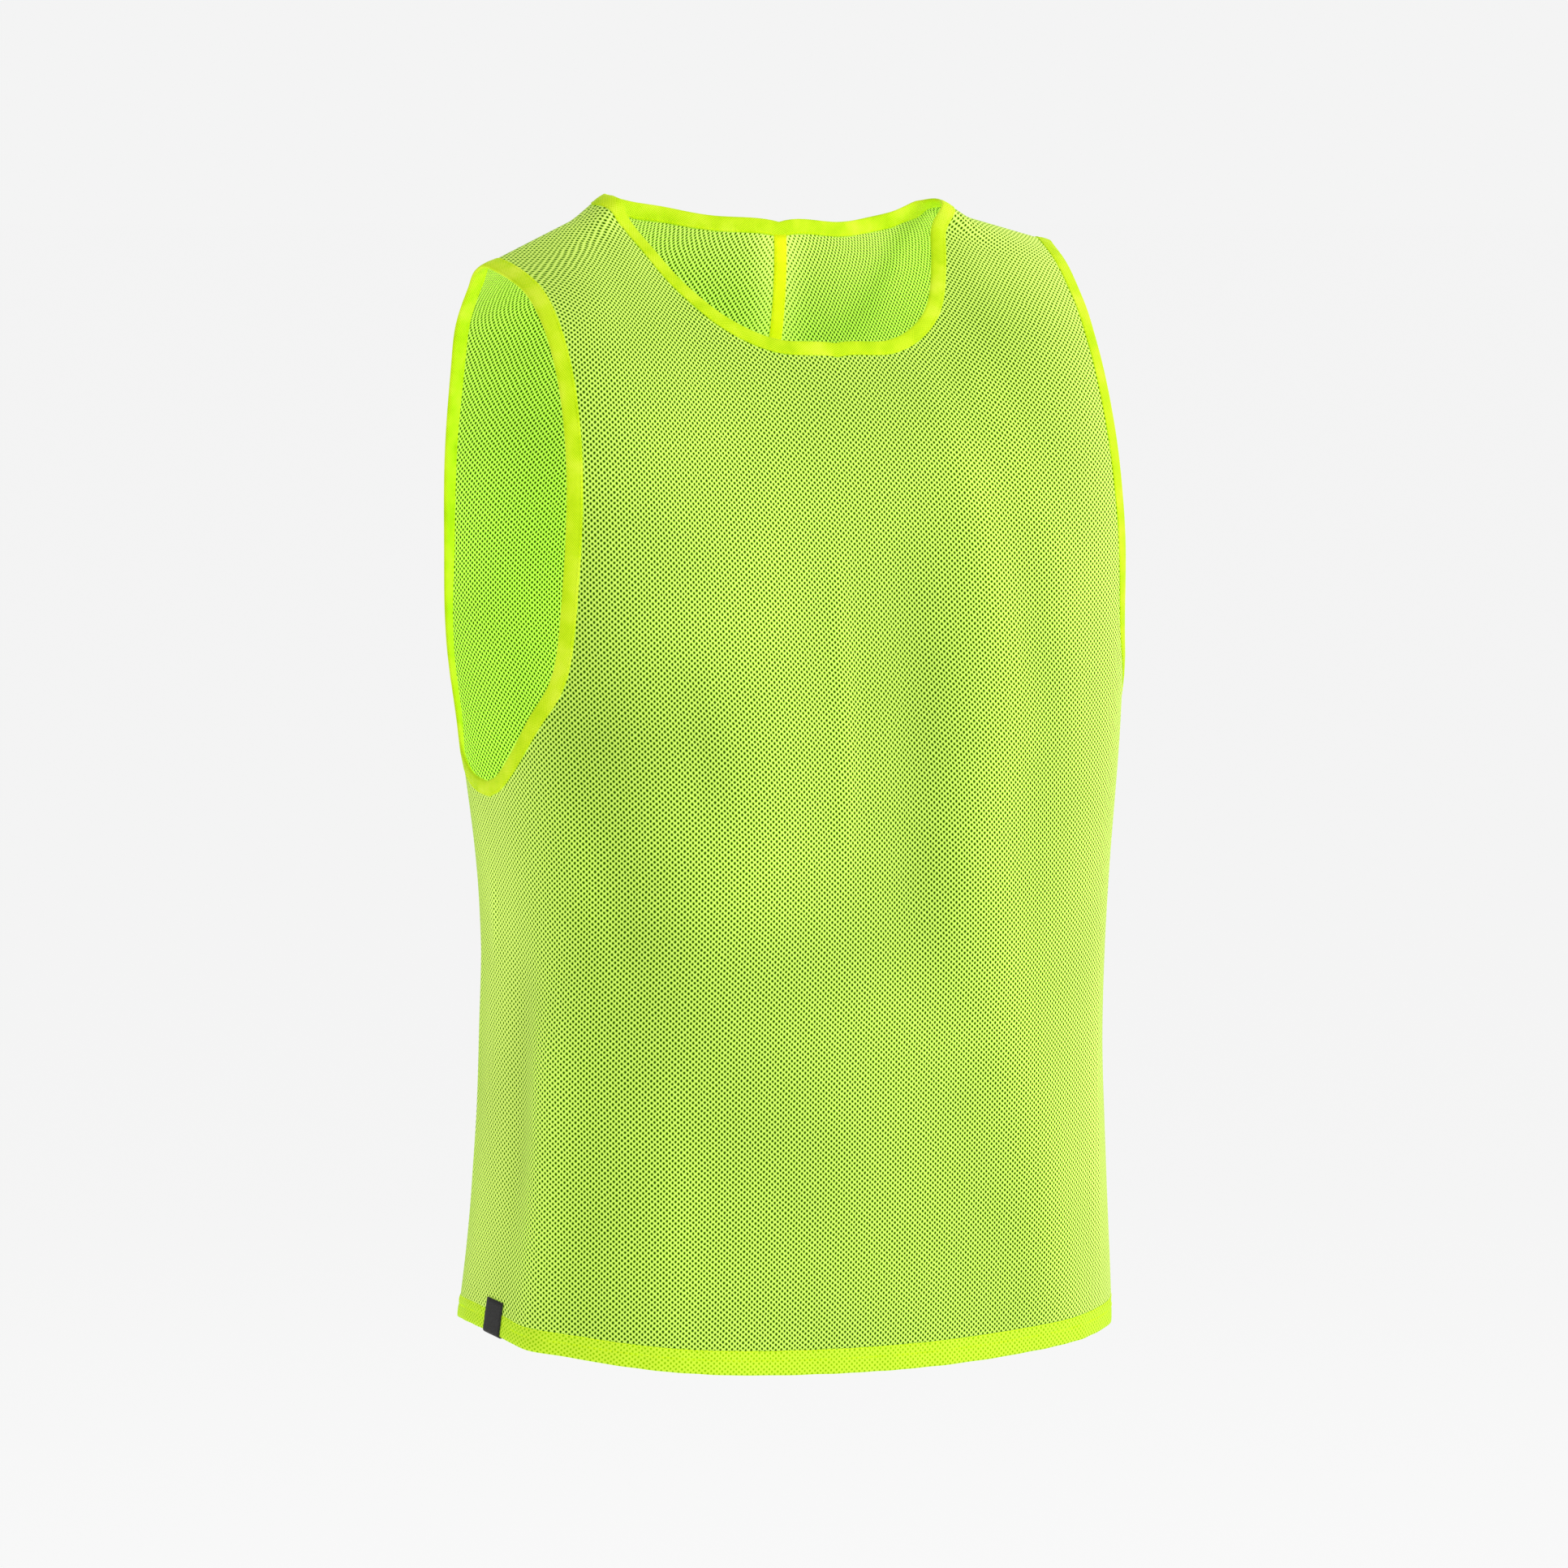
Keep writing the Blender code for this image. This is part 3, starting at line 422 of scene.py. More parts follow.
def chart():
    """Edge loops, their inset loops and the five patches of the +X half."""
    neck_f = neck_run(0.0, NECK_CORNER, FRONT_COLUMNS, True)
    neck_fs = neck_run(NECK_CORNER, 1.0, TOP_ROWS, True)
    neck_bs = neck_run(1.0, NECK_BACK_CORNER, TOP_ROWS_BACK, False)
    neck_b = neck_run(NECK_BACK_CORNER, 0.0, BACK_COLUMNS, False)
    half = np.concatenate([neck_f, neck_fs[1:], neck_bs[1:], neck_b[1:]])
    other = half[-2:0:-1] * np.array([-1.0, 1.0]) + np.array([2 * math.pi, 0.0])
    neck = np.concatenate([half, other])
    arm_f = arm_side(True, MID_ROWS, TOP_ROWS, 0.105)
    arm_b = arm_side(False, MID_ROWS_BACK, TOP_ROWS_BACK, 0.030)
    under = arm_under()
    arm = np.concatenate([arm_f[::-1], under[1:], arm_b[1:-1]])
    neck_in = inset(neck, -BIND_DEPTH)
    neck_in[0, 0] = 0.0
    neck_in[len(half) - 1, 0] = math.pi
    neck_in[len(half):] = neck_in[len(half) - 2:0:-1] * np.array([-1.0, 1.0]) + np.array([2 * math.pi, 0.0])
    arm_in = inset(arm, -BIND_DEPTH)
    a, b, c = FRONT_COLUMNS, FRONT_COLUMNS + TOP_ROWS, FRONT_COLUMNS + TOP_ROWS + TOP_ROWS_BACK
    d = c + BACK_COLUMNS
    top_f, side_f, side_b, top_b = neck_in[:a + 1], neck_in[a:b + 1], neck_in[b:c + 1], neck_in[c:d + 1]
    side_b = side_b.copy()
    side_b[0, 0] = math.pi - side_b[0, 0]
    rows = MID_ROWS + TOP_ROWS
    in_f = arm_in[:rows + 1][::-1]
    in_under = arm_in[rows:rows + SIDE_COLUMNS + 1]
    in_b = np.concatenate([arm_in[rows + SIDE_COLUMNS:], arm_in[:1]])
    in_b[-1, 0] = math.pi - in_b[-1, 0]
    hem_a = float(angle_of(np.array(0.080), np.array(HEM_LEVEL), True))
    hem_b = 0.5 * math.pi - 0.50
    hem_c = 0.5 * math.pi + 0.50
    hem_d = float(angle_of(np.array(0.080), np.array(HEM_LEVEL), False))
    line_a = ladder(hem_a, top_f[-1], MID_ROWS)
    line_b = ladder(hem_b, in_f[0])
    line_c = ladder(hem_c, in_b[0])
    line_d = ladder(hem_d, top_b[0], MID_ROWS_BACK)
    centre = ladder(0.0, top_f[0], MID_ROWS)
    seam = ladder(math.pi, top_b[-1], MID_ROWS_BACK)

    def hem(first, last, count):
        return line((first, HEM_LEVEL), (last, HEM_LEVEL), count)

    front_left = np.concatenate([line_a, side_f[1:]])
    front_right = np.concatenate([line_b, in_f[1:]])
    back_left = np.concatenate([line_c, in_b[1:]])
    back_right = np.concatenate([line_d, side_b[::-1][1:]])
    strap_top = line(front_left[-1], front_right[-1], STRAP_COLUMNS)
    strap_back = strap_top[::-1] * np.array([-1.0, 1.0]) + np.array([math.pi, 0.0])
    patches = [
        blend(centre, line_a, hem(0.0, hem_a, FRONT_COLUMNS), top_f),
        blend(front_left, front_right, hem(hem_a, hem_b, STRAP_COLUMNS), strap_top),
        blend(line_b, line_c, hem(hem_b, hem_c, SIDE_COLUMNS), in_under),
        blend(back_left, back_right, hem(hem_c, hem_d, STRAP_COLUMNS), strap_back),
        blend(line_d, seam, hem(hem_d, math.pi, BACK_COLUMNS), top_b),
    ]
    return patches, neck, neck_in, arm, arm_in


def mirrored(points):
    """The same chart points on the wearer's other half."""
    return points * np.array([-1.0, 1.0])


def grid_faces(rows, columns, start):
    """Corner numbers of the quads of a grid whose first point has a given number."""
    first = start + np.arange(rows - 1)[:, None] * columns + np.arange(columns - 1)[None, :]
    first = first.reshape(-1)
    return np.stack([first, first + 1, first + columns + 1, first + columns], axis=-1)


def grain_table():
    """Places on the flat cloth over the whole chart, as two tables of angle and level.

    Across is the summed horizontal length from the centre front; down is the summed length of the
    upright line, counted from the height of the chest at level 0.28."""
    angles = np.linspace(-math.pi, math.pi, 721)
    levels = np.linspace(0.0, 0.72, 361)
    place = middle(angles[:, None] + np.zeros(361), levels[None, :] + np.zeros((721, 1)))
    wide = np.linalg.norm(np.diff(place[..., :2], axis=0), axis=-1)
    across = np.concatenate([np.zeros((1, 361)), np.cumsum(wide, axis=0)])
    across = across - across[360]
    tall = np.linalg.norm(np.diff(place, axis=1), axis=-1)
    down = np.concatenate([np.zeros((721, 1)), np.cumsum(tall, axis=1)], axis=1)
    down = down - down[:, 140:141] - place[:, 140:141, 2]
    return across, down


ACROSS, DOWN = grain_table()


def on_grain(points):
    """Across and down on the flat cloth for chart points, between the four nearest table values."""
    a = np.clip((points[..., 0] + math.pi) / (2.0 * math.pi) * 720.0, 0.0, 719.999)
    b = np.clip(points[..., 1] / 0.72 * 360.0, 0.0, 359.999)
    i, j = a.astype(int), b.astype(int)
    s, t = a - i, b - j
    out = [(1 - s) * (1 - t) * table[i, j] + s * (1 - t) * table[i + 1, j]
           + (1 - s) * t * table[i, j + 1] + s * t * table[i + 1, j + 1] for table in (ACROSS, DOWN)]
    return np.stack(out, axis=-1)


def opened(points):
    """How far the knit's holes stand open, which sets the size of their painted dark dots: 1 on most of
    the cloth, less on the wearer's left and right sides, near the shoulders and at the centre-back seam.
    """
    degrees = np.degrees(points[..., 0])
    level = points[..., 1]
    turned = np.abs(degrees)
    away = np.clip((degrees - 30.0) / 40.0, 0.0, 1.0) * np.clip((120.0 - degrees) / 30.0, 0.0, 1.0)
    right = np.clip((-degrees - 55.0) / 30.0, 0.0, 1.0) * np.clip((degrees + 125.0) / 25.0, 0.0, 1.0)
    high = np.clip(1.0 - level / 0.10, 0.0, 1.0)
    seam = np.exp(-((180.0 - turned) / 4.0) ** 2)
    return 1.0 - 0.34 * away - 0.20 * right - 0.16 * high - 0.30 * seam


def cloth_object(name, points, faces, grain, finish, values=None):
    """Smooth mesh object at the origin from points, faces, the grain map of each face's corners, a
    material and named values of each point."""
    mesh = bpy.data.meshes.new(name)
    mesh.from_pydata(points.tolist(), [], [list(map(int, face)) for face in faces])
    corners = np.concatenate(grain).reshape(-1).astype(np.float32)
    mesh.uv_layers.new(name="grain").uv.foreach_set("vector", corners)
    for key, numbers in (values or {}).items():
        mesh.attributes.new(key, "FLOAT", "POINT").data.foreach_set("value", numbers.astype(np.float32))
    mesh.polygons.foreach_set("use_smooth", np.ones(len(faces), bool))
    mesh.materials.append(finish)
    made = bpy.data.objects.new(name, mesh)
    bpy.context.scene.collection.objects.link(made)
    return made


def facing_out(points, faces, normal):
    """Faces turned so that their corners run anticlockwise seen from the side of their normal."""
    way = np.cross(points[faces[:, 1]] - points[faces[:, 0]], points[faces[:, 2]] - points[faces[:, 0]])
    wrong = np.sum(way * normal[faces[:, 0]], axis=1) < 0.0
    return np.where(wrong[:, None], faces[:, ::-1], faces)


def body_shell():
    """Closed thin shell of the body: its middle moved half its thickness out and in, rims joined."""
    patches, neck, neck_in, arm, arm_in = chart()
    grids = [p[1:] for p in patches + [mirrored(p) for p in patches]]
    for edge, inner in ((neck, neck_in), (arm, arm_in), (mirrored(arm), mirrored(arm_in))):
        strip = np.stack([inner, edge])
        grids.append(np.concatenate([strip, strip[:, :1]], axis=1))
    chart_points, faces, count = [], [], 0
    for grid in grids:
        faces.append(grid_faces(grid.shape[0], grid.shape[1], count))
        chart_points.append(grid.reshape(-1, 2))
        count += len(chart_points[-1])
    chart_points = np.concatenate(chart_points)
    faces = np.concatenate(faces)
    wrapped = chart_points.copy()
    wrapped[:, 0] = (wrapped[:, 0] + math.pi + 1e-9) % (2.0 * math.pi) - math.pi
    ends = np.abs(np.abs(chart_points[:, 0]) - math.pi) < 1e-6
    wrapped[ends, 0] = chart_points[ends, 0]
    place = middle(chart_points[:, 0], chart_points[:, 1])
    normal = outward(chart_points[:, 0], chart_points[:, 1])
    faces = facing_out(place, faces, normal)
    grain = on_grain(wrapped)[faces]
    jump = grain[..., 0].max(axis=1) - grain[..., 0].min(axis=1) > 0.3
    grain[..., 0] = np.where(jump[:, None] & (grain[..., 0] < 0.0), -grain[..., 0], grain[..., 0])
    _, first, weld = np.unique(np.round(place * 1e5).astype(np.int64), axis=0, return_index=True,
                               return_inverse=True)
    faces = weld.reshape(-1)[faces]
    place, normal, wrapped = place[first], normal[first], wrapped[first]
    total = len(place)
    sides = np.concatenate([faces[:, [k, (k + 1) % 4]] for k in range(4)])
    marks = sides[:, 0] * total + sides[:, 1]
    open_sides = sides[~np.isin(marks, sides[:, 1] * total + sides[:, 0])]
    low, high = open_sides[:, 0], open_sides[:, 1]
    rims = np.stack([high, low, low + total, high + total], axis=-1)
    points = np.concatenate([place + CLOTH_HALF * normal, place - CLOTH_HALF * normal])
    every = np.concatenate([faces, faces[:, ::-1] + total, rims])
    corners = np.concatenate([grain, grain[:, ::-1], on_grain(wrapped)[rims % total]])
    # The folds' heights, raised to a small power, also paint the cloth: paler on ridges as a painted
    # highlight and darker in hollows as painted shade.
    fold_shade_amount = fullness(np.degrees(wrapped[:, 0]), wrapped[:, 1], 0.35) / 0.15
    return points, every, corners, np.tile(opened(wrapped), 2), np.tile(fold_shade_amount, 2)


# Warp-knitted polyester mesh, dyed fluorescent: dull, a little furry, so it shows no gloss but a soft
# sheen. Its holes stand in a centred lattice, 3.35 mm by 3.15 mm to a cell. They are not cut: they are
# opaque dots painted dark as the painted shade inside them, ringed by yarn painted darker as shade
# near them and paler on its crests as a painted highlight.
HOLE_PAINTED_SHADE = "#143000"
YARN_EDGE_PAINTED_SHADE = "#72A804"
YARN = "#CCF256"
YARN_CREST_PAINTED_HIGHLIGHT = "#F0FF8C"
CELL_WIDE = 0.00335
CELL_TALL = 0.00315
HOLE_WIDE = 0.00053      # half the width of a hole
HOLE_TALL = 0.00066      # half its height


def lattice(tree, source, shift):
    """Distance from the nearest hole's middle, 1 at its rim: the cell's fraction less a half, scaled."""
    cells = add(tree, "ShaderNodeVectorMath", {"operation": "MULTIPLY_ADD"}, {0: source},
                _1=(1.0 / CELL_WIDE, 1.0 / CELL_TALL, 1.0), _2=(shift, shift, 0.0))
    part = add(tree, "ShaderNodeVectorMath", {"operation": "FRACTION"}, {0: cells.outputs[0]})
    middle_of = add(tree, "ShaderNodeVectorMath", {"operation": "SUBTRACT"}, {0: part.outputs[0]},
                    _1=(0.5, 0.5, 0.0))
    scaled = add(tree, "ShaderNodeVectorMath", {"operation": "MULTIPLY"}, {0: middle_of.outputs[0]},
                 _1=(CELL_WIDE / HOLE_WIDE, CELL_TALL / HOLE_TALL, 0.0))
    far = add(tree, "ShaderNodeVectorMath", {"operation": "LENGTH"}, {0: scaled.outputs[0]})
    return far.outputs["Value"]


def mesh_knit(name, yarn_colours, painted_glow_tint):
    """Mesh cloth: two lattices of holes painted dark as shade, yarn painted darker beside them as shade
    and paler on its crests as a highlight, slow random changes of tone, painted shade and highlight
    along the folds, and a painted glow.
    """
    made, tree, shader = new_material(name)
    grain = add(tree, "ShaderNodeUVMap", {"uv_map": "grain"}).outputs["UV"]
    drift = add(tree, "ShaderNodeTexNoise", {"noise_dimensions": "2D"}, {"Vector": grain},
                Scale=140.0, Detail=1.0)
    moved = add(tree, "ShaderNodeVectorMath", {"operation": "MULTIPLY_ADD"},
                {0: drift.outputs["Color"], 2: grain}, _1=(0.0009, 0.0009, 0.0)).outputs[0]
    one = lattice(tree, moved, 0.0)
    two = lattice(tree, moved, 0.5)
    near = add(tree, "ShaderNodeMath", {"operation": "MINIMUM"}, {0: one, 1: two}).outputs[0]
    open_here = add(tree, "ShaderNodeAttribute", {"attribute_name": "opened"}).outputs["Fac"]
    near = add(tree, "ShaderNodeMath", {"operation": "DIVIDE"}, {0: near, 1: open_here}).outputs[0]
    ramp = add(tree, "ShaderNodeValToRGB", None, {"Fac": add(
        tree, "ShaderNodeMath", {"operation": "MULTIPLY"}, {0: near}, _1=0.4).outputs[0]})
    stops = ramp.color_ramp.elements
    places = (0.28, 0.46, 0.62, 0.95)
    stops[0].position, stops[0].color = places[0], linear(yarn_colours[0])
    stops[1].position, stops[1].color = places[3], linear(yarn_colours[3])
    for k in (1, 2):
        stops.new(places[k]).color = linear(yarn_colours[k])
    own = add(tree, "ShaderNodeTexCoord").outputs["Object"]
    slow = add(tree, "ShaderNodeTexNoise", None, {"Vector": own}, Scale=9.0, Detail=3.0)
    shade = add(tree, "ShaderNodeMapRange", None, {"Value": slow.outputs["Fac"]},
                _1=0.3, _2=0.7, _3=0.93, _4=1.05)
    # Painted shade and highlight of the folds: the tint is raised by up to about a tenth on ridges and
    # lowered as much in hollows.
    fold_painted_shade = add(tree, "ShaderNodeAttribute", {"attribute_name": "fold_painted_shade"}).outputs["Fac"]
    shade = add(tree, "ShaderNodeMath", {"operation": "MULTIPLY_ADD"},
                {0: fold_painted_shade, 2: shade.outputs[0]}, _1=0.10)
    tint = add(tree, "ShaderNodeVectorMath", {"operation": "SCALE"},
               {0: ramp.outputs["Color"], "Scale": shade.outputs[0]})
    tree.links.new(tint.outputs[0], shader.inputs["Base Color"])
    # Painted light: the cloth glows with its own tint times the glow colour, standing in for the dye's
    # fluorescence and for light coming through the cloth.
    painted_glow = add(tree, "ShaderNodeMix", {"data_type": "RGBA", "blend_type": "MULTIPLY"},
                  {6: tint.outputs[0]}, _0=1.0, _7=linear(painted_glow_tint))
    tree.links.new(painted_glow.outputs[2], shader.inputs["Emission Color"])
    shader.inputs["Emission Strength"].default_value = 0.20
    shader.inputs["Roughness"].default_value = 0.85
    shader.inputs["Specular IOR Level"].default_value = 0.12
    shader.inputs["Sheen Weight"].default_value = 0.03
    shader.inputs["Sheen Roughness"].default_value = 0.5
    raised = add(tree, "ShaderNodeMapRange", {"interpolation_type": "SMOOTHSTEP"}, {"Value": near},
                 _1=0.8, _2=1.7, _3=0.0, _4=1.0)
    bump = add(tree, "ShaderNodeBump", None, {"Height": raised.outputs[0]}, Strength=0.5, Distance=0.0002)
    tree.links.new(bump.outputs["Normal"], shader.inputs["Normal"])
    return made


# The last code tints the painted glow: painted light standing in for the dye's fluorescence and for light
# coming through the cloth.
MESH_CLOTH = mesh_knit("warp_knit_polyester_mesh", (HOLE_PAINTED_SHADE, YARN_EDGE_PAINTED_SHADE, YARN, YARN_CREST_PAINTED_HIGHLIGHT), "#C4FF3C")
shell_points, shell_faces, shell_grain, shell_open, shell_fold_painted_shade = body_shell()
mesh_body = cloth_object("mesh_body", shell_points, shell_faces, shell_grain, MESH_CLOTH,
                         {"opened": shell_open, "fold_painted_shade": shell_fold_painted_shade})
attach(mesh_body, "root")
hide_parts("body")
mesh_body.visible_shadow = False    # light passes through the open mesh


# Turned hem: the body's lower 15 mm folded up inside and held by two rows of twin-needle sewing.
# Two layers of mesh lie on each other there, so it is yellower and its holes are mostly closed.
HEM_COLUMNS = 424
HEM_TOP = 0.0152         # how high the turned hem reaches above its fold


def closed_rings(rings):
    """Quads between rings that follow each other round a closed loop, each ring closed as well."""
    count, around = rings.shape[:2]
    one = np.arange(count)[:, None] * around + np.arange(around)[None, :]
    two = np.roll(one, -1, axis=1)
    beside = np.roll(one, -1, axis=0)
    return np.stack([one, two, np.roll(beside, -1, axis=1), beside], axis=-1).reshape(-1, 4)


def run_along(points):
    """Length along a line of points, from the first of them up to each."""
    return np.concatenate([[0.0], np.cumsum(np.linalg.norm(np.diff(points, axis=0), axis=-1))])


def ring_map(along_run, across_run, count, around):
    """Map of each quad of closed rings: the run's length by the place round the ring."""
    u = np.append(along_run, 2 * along_run[-1] - along_run[-2])
    v = np.append(across_run, 2 * across_run[-1] - across_run[-2])
    i, j = np.meshgrid(np.arange(count), np.arange(around), indexing="ij")
    corners = [(i, j), (i, j + 1), (i + 1, j + 1), (i + 1, j)]
    return np.stack([np.stack([u[a], v[b]], axis=-1) for a, b in corners], axis=2).reshape(-1, 4, 2)


def turned_hem():
    """Closed strip round the bottom: outer face down, half a circle under the fold, inner face up.

    Each face is the body's middle moved out or in; small uneven waves come from the sewing."""
    angle = np.linspace(-math.pi, math.pi, HEM_COLUMNS + 1)[:-1]
    run = on_grain(np.stack([angle, np.full_like(angle, HEM_LEVEL)], axis=-1))[:, 0]
    pucker = 0.00022 * np.sin(run / 0.0034 + 1.7 * np.sin(run / 0.021)) + 0.00018 * np.sin(run / 0.0057)
    rings = []
    heights = np.array([HEM_TOP, 0.0146, 0.0132, 0.0118, 0.0104, 0.0090, 0.0076, 0.0050, 0.0022])
    swell = np.array([0.00026, 0.00022, 0.00050, 0.00058, 0.00050, 0.00022, 0.00048, 0.00060, 0.00058])
    for height, out in zip(heights, swell):
        level = np.full_like(angle, HEM_LEVEL - height)
        lift = (out + pucker * (height < HEM_DEPTH))[:, None]
        rings.append(middle(angle, level) + lift * outward(angle, level))
    base = np.full_like(angle, HEM_LEVEL - 0.0008)
    low, side = middle(angle, base), outward(angle, base)
    down = unit(middle(angle, base + 0.001) - middle(angle, base - 0.001))
    for turn in np.radians((35.0, 70.0, 105.0, 145.0)):
        rings.append(low + ((0.0010 * math.cos(turn) - 0.0004) + pucker)[:, None] * side
                     + 0.0010 * math.sin(turn) * down)
    for height, into in ((0.0022, 0.0016), (0.0050, 0.0017), (0.0090, 0.0013), (0.0118, 0.0016),
                         (0.0145, 0.0013), (0.0150, 0.0008), (HEM_TOP, 0.0003)):
        level = np.full_like(angle, HEM_LEVEL - height)
        lift = (into - pucker * (height < HEM_DEPTH))[:, None]
        rings.append(middle(angle, level) - lift * outward(angle, level))
    rings = np.stack(rings, axis=1)
    start = on_grain(np.stack([angle, np.full_like(angle, HEM_LEVEL - HEM_TOP)], axis=-1))
    grain = ring_map(start[:, 0], run_along(rings[0]) + start[:, 1].mean(), *rings.shape[:2])
    return rings.reshape(-1, 3), closed_rings(rings), grain


def outside_out(points, faces, grain):
    """Faces and map of a closed mesh, turned round if its signed volume comes out below nought."""
    a, b, c = points[faces[:, 0]], points[faces[:, 1]], points[faces[:, 2]]
    d = points[faces[:, 3]]
    volume = np.sum(a * np.cross(b, c)) + np.sum(a * np.cross(c, d))
    if volume < 0.0:
        return faces[:, ::-1], grain[:, ::-1]
    return faces, grain


# The hem's four yarn colours are, in turn, the painted shade of its holes, the yarn beside them painted
# darker as shade, its own yarn, and its crests painted paler as a highlight; the last code tints its
# painted glow.
HEM_CLOTH = mesh_knit("doubled_mesh_of_the_hem", ("#8CC008", "#B4E410", "#CCF522", "#DCFB46"), "#C8F000")
hem_points, hem_faces, hem_grain = turned_hem()
hem_faces, hem_grain = outside_out(hem_points, hem_faces, hem_grain)
hem_band = cloth_object("turned_hem", hem_points, hem_faces, hem_grain, HEM_CLOTH,
                        {"opened": np.full(len(hem_points), 0.78), "fold_painted_shade": np.zeros(len(hem_points))})
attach(hem_band, "root")
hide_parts("body")
hem_band.visible_shadow = False


# Bindings: strips of fine lime tricot folded over the raw edge of the neck and of each armhole.
# Each is a soft flat band 8 mm wide on both faces, a little crowned, with one row of sewing.
BIND_SHARES = np.array([0.0, 0.04, 0.16, 0.34, 0.56, 0.80, 1.0])
BIND_RISE = np.array([0.00035, 0.00085, 0.00072, 0.00105, 0.00125, 0.00125, 0.00120])


def folded_band(edge, inner):
    """Band over an edge: the cloth between the inset line and the edge moved out by the rise, half a
    circle round the edge, the same inside, and back along the cloth a third of a millimetre off it."""
    run_end, run_in = middle(edge[:, 0], edge[:, 1]), middle(inner[:, 0], inner[:, 1])
    way_end, way_in = outward(edge[:, 0], edge[:, 1]), outward(inner[:, 0], inner[:, 1])
    away = unit(run_end - run_in)
    run = run_along(run_end)
    ripple = 0.00007 * np.sin(run / 0.0021 + np.sin(run / 0.013)) + 0.00009 * np.sin(run / 0.0073)

    def leg(share, rise):
        way = (1 - share) * way_in + share * way_end
        return (1 - share) * run_in + share * run_end + rise * way

    rings = [leg(s, (r + ripple)[:, None]) for s, r in zip(BIND_SHARES, BIND_RISE)]
    for turn in np.radians((30.0, 65.0, 90.0, 115.0, 150.0)):
        rings.append(run_end + 0.00120 * (math.cos(turn) * way_end + math.sin(turn) * away)
                     + 0.0004 * math.sin(turn) * away)
    rings += [leg(s, (ripple - r)[:, None]) for s, r in zip(BIND_SHARES[::-1], BIND_RISE[::-1])]
    rings += [leg(s, r) for s, r in ((0.5, -0.00030), (1.0, -0.00030), (1.0, 0.00030),
                                     (0.5, 0.00030))]
    rings = np.stack(rings, axis=1)
    grain = ring_map(run, run_along(rings[0]), *rings.shape[:2])
    return rings.reshape(-1, 3), closed_rings(rings), grain, (run_end, run_in, way_end, way_in)


def fine_knit(name, dark, mid, pale, stitch_wide, stitch_tall):
    """Close knit: rows of small loops on the piece's own map in metres, painted darker between them as
    shade and paler on their tops as a highlight, over slow random changes of tone; the colour also
    glows a little, as painted light.
    """
    made, tree, shader = new_material(name)
    grain = add(tree, "ShaderNodeUVMap", {"uv_map": "grain"}).outputs["UV"]
    cells = add(tree, "ShaderNodeVectorMath", {"operation": "MULTIPLY"}, {0: grain},
                _1=(2 * math.pi / stitch_wide, 2 * math.pi / stitch_tall, 1.0))
    waves = add(tree, "ShaderNodeVectorMath", {"operation": "SINE"}, {0: cells.outputs[0]})
    split = add(tree, "ShaderNodeSeparateXYZ", None, {0: waves.outputs[0]})
    loops = add(tree, "ShaderNodeMath", {"operation": "MULTIPLY"},
                {0: split.outputs[0], 1: split.outputs[1]})
    own = add(tree, "ShaderNodeTexCoord").outputs["Object"]
    slow = add(tree, "ShaderNodeTexNoise", None, {"Vector": own}, Scale=60.0, Detail=3.0)
    total = add(tree, "ShaderNodeMath", {"operation": "MULTIPLY_ADD"},
                {0: loops.outputs[0], 2: slow.outputs["Fac"]}, _1=0.28)
    ramp = add(tree, "ShaderNodeValToRGB", None, {"Fac": total.outputs[0]})
    stops = ramp.color_ramp.elements
    stops[0].position, stops[0].color = 0.15, linear(dark)
    stops[1].position, stops[1].color = 0.85, linear(pale)
    stops.new(0.5).color = linear(mid)
    tree.links.new(ramp.outputs["Color"], shader.inputs["Base Color"])
    # Painted light: the same colour is sent out as a glow, standing in for the dye's fluorescence, though
    # the piece is no lamp.
    tree.links.new(ramp.outputs["Color"], shader.inputs["Emission Color"])
    shader.inputs["Emission Strength"].default_value = 0.14
    shader.inputs["Roughness"].default_value = 0.72
    shader.inputs["Specular IOR Level"].default_value = 0.15
    shader.inputs["Sheen Weight"].default_value = 0.03
    bump = add(tree, "ShaderNodeBump", None, {"Height": loops.outputs[0]}, Strength=0.5, Distance=0.00015)
    tree.links.new(bump.outputs["Normal"], shader.inputs["Normal"])
    return made


TRICOT = fine_knit("fine_lime_polyester_tricot", "#A8DA00", "#D4F800", "#ECFF48", 0.0015, 0.0013)
PATCHES, NECK, NECK_IN, ARM, ARM_IN = chart()
bands = {}
sewn_edges = {}
for band_name, edge, inner in (
    ("neck_band", NECK, NECK_IN),
    ("armhole_band_left", ARM, ARM_IN),
    ("armhole_band_right", mirrored(ARM), mirrored(ARM_IN)),
):
    band_points, band_faces, band_grain, sewn_edges[band_name] = folded_band(edge, inner)
    band_faces, band_grain = outside_out(band_points, band_faces, band_grain)
    bands[band_name] = cloth_object(band_name, band_points, band_faces, band_grain, TRICOT)
    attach(bands[band_name], "root")
    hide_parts(band_name.replace("_band", "_binding"))


# Centre-back tape: a fine bright yellow knitted tape, 8 mm wide, over the seam inside the back.
# It runs from under the neck binding down to the turned hem.
TAPE_YELLOW = fine_knit("bright_yellow_knitted_tape", "#E4F000", "#FAFF00", "#FFFF30", 0.0016, 0.0013)


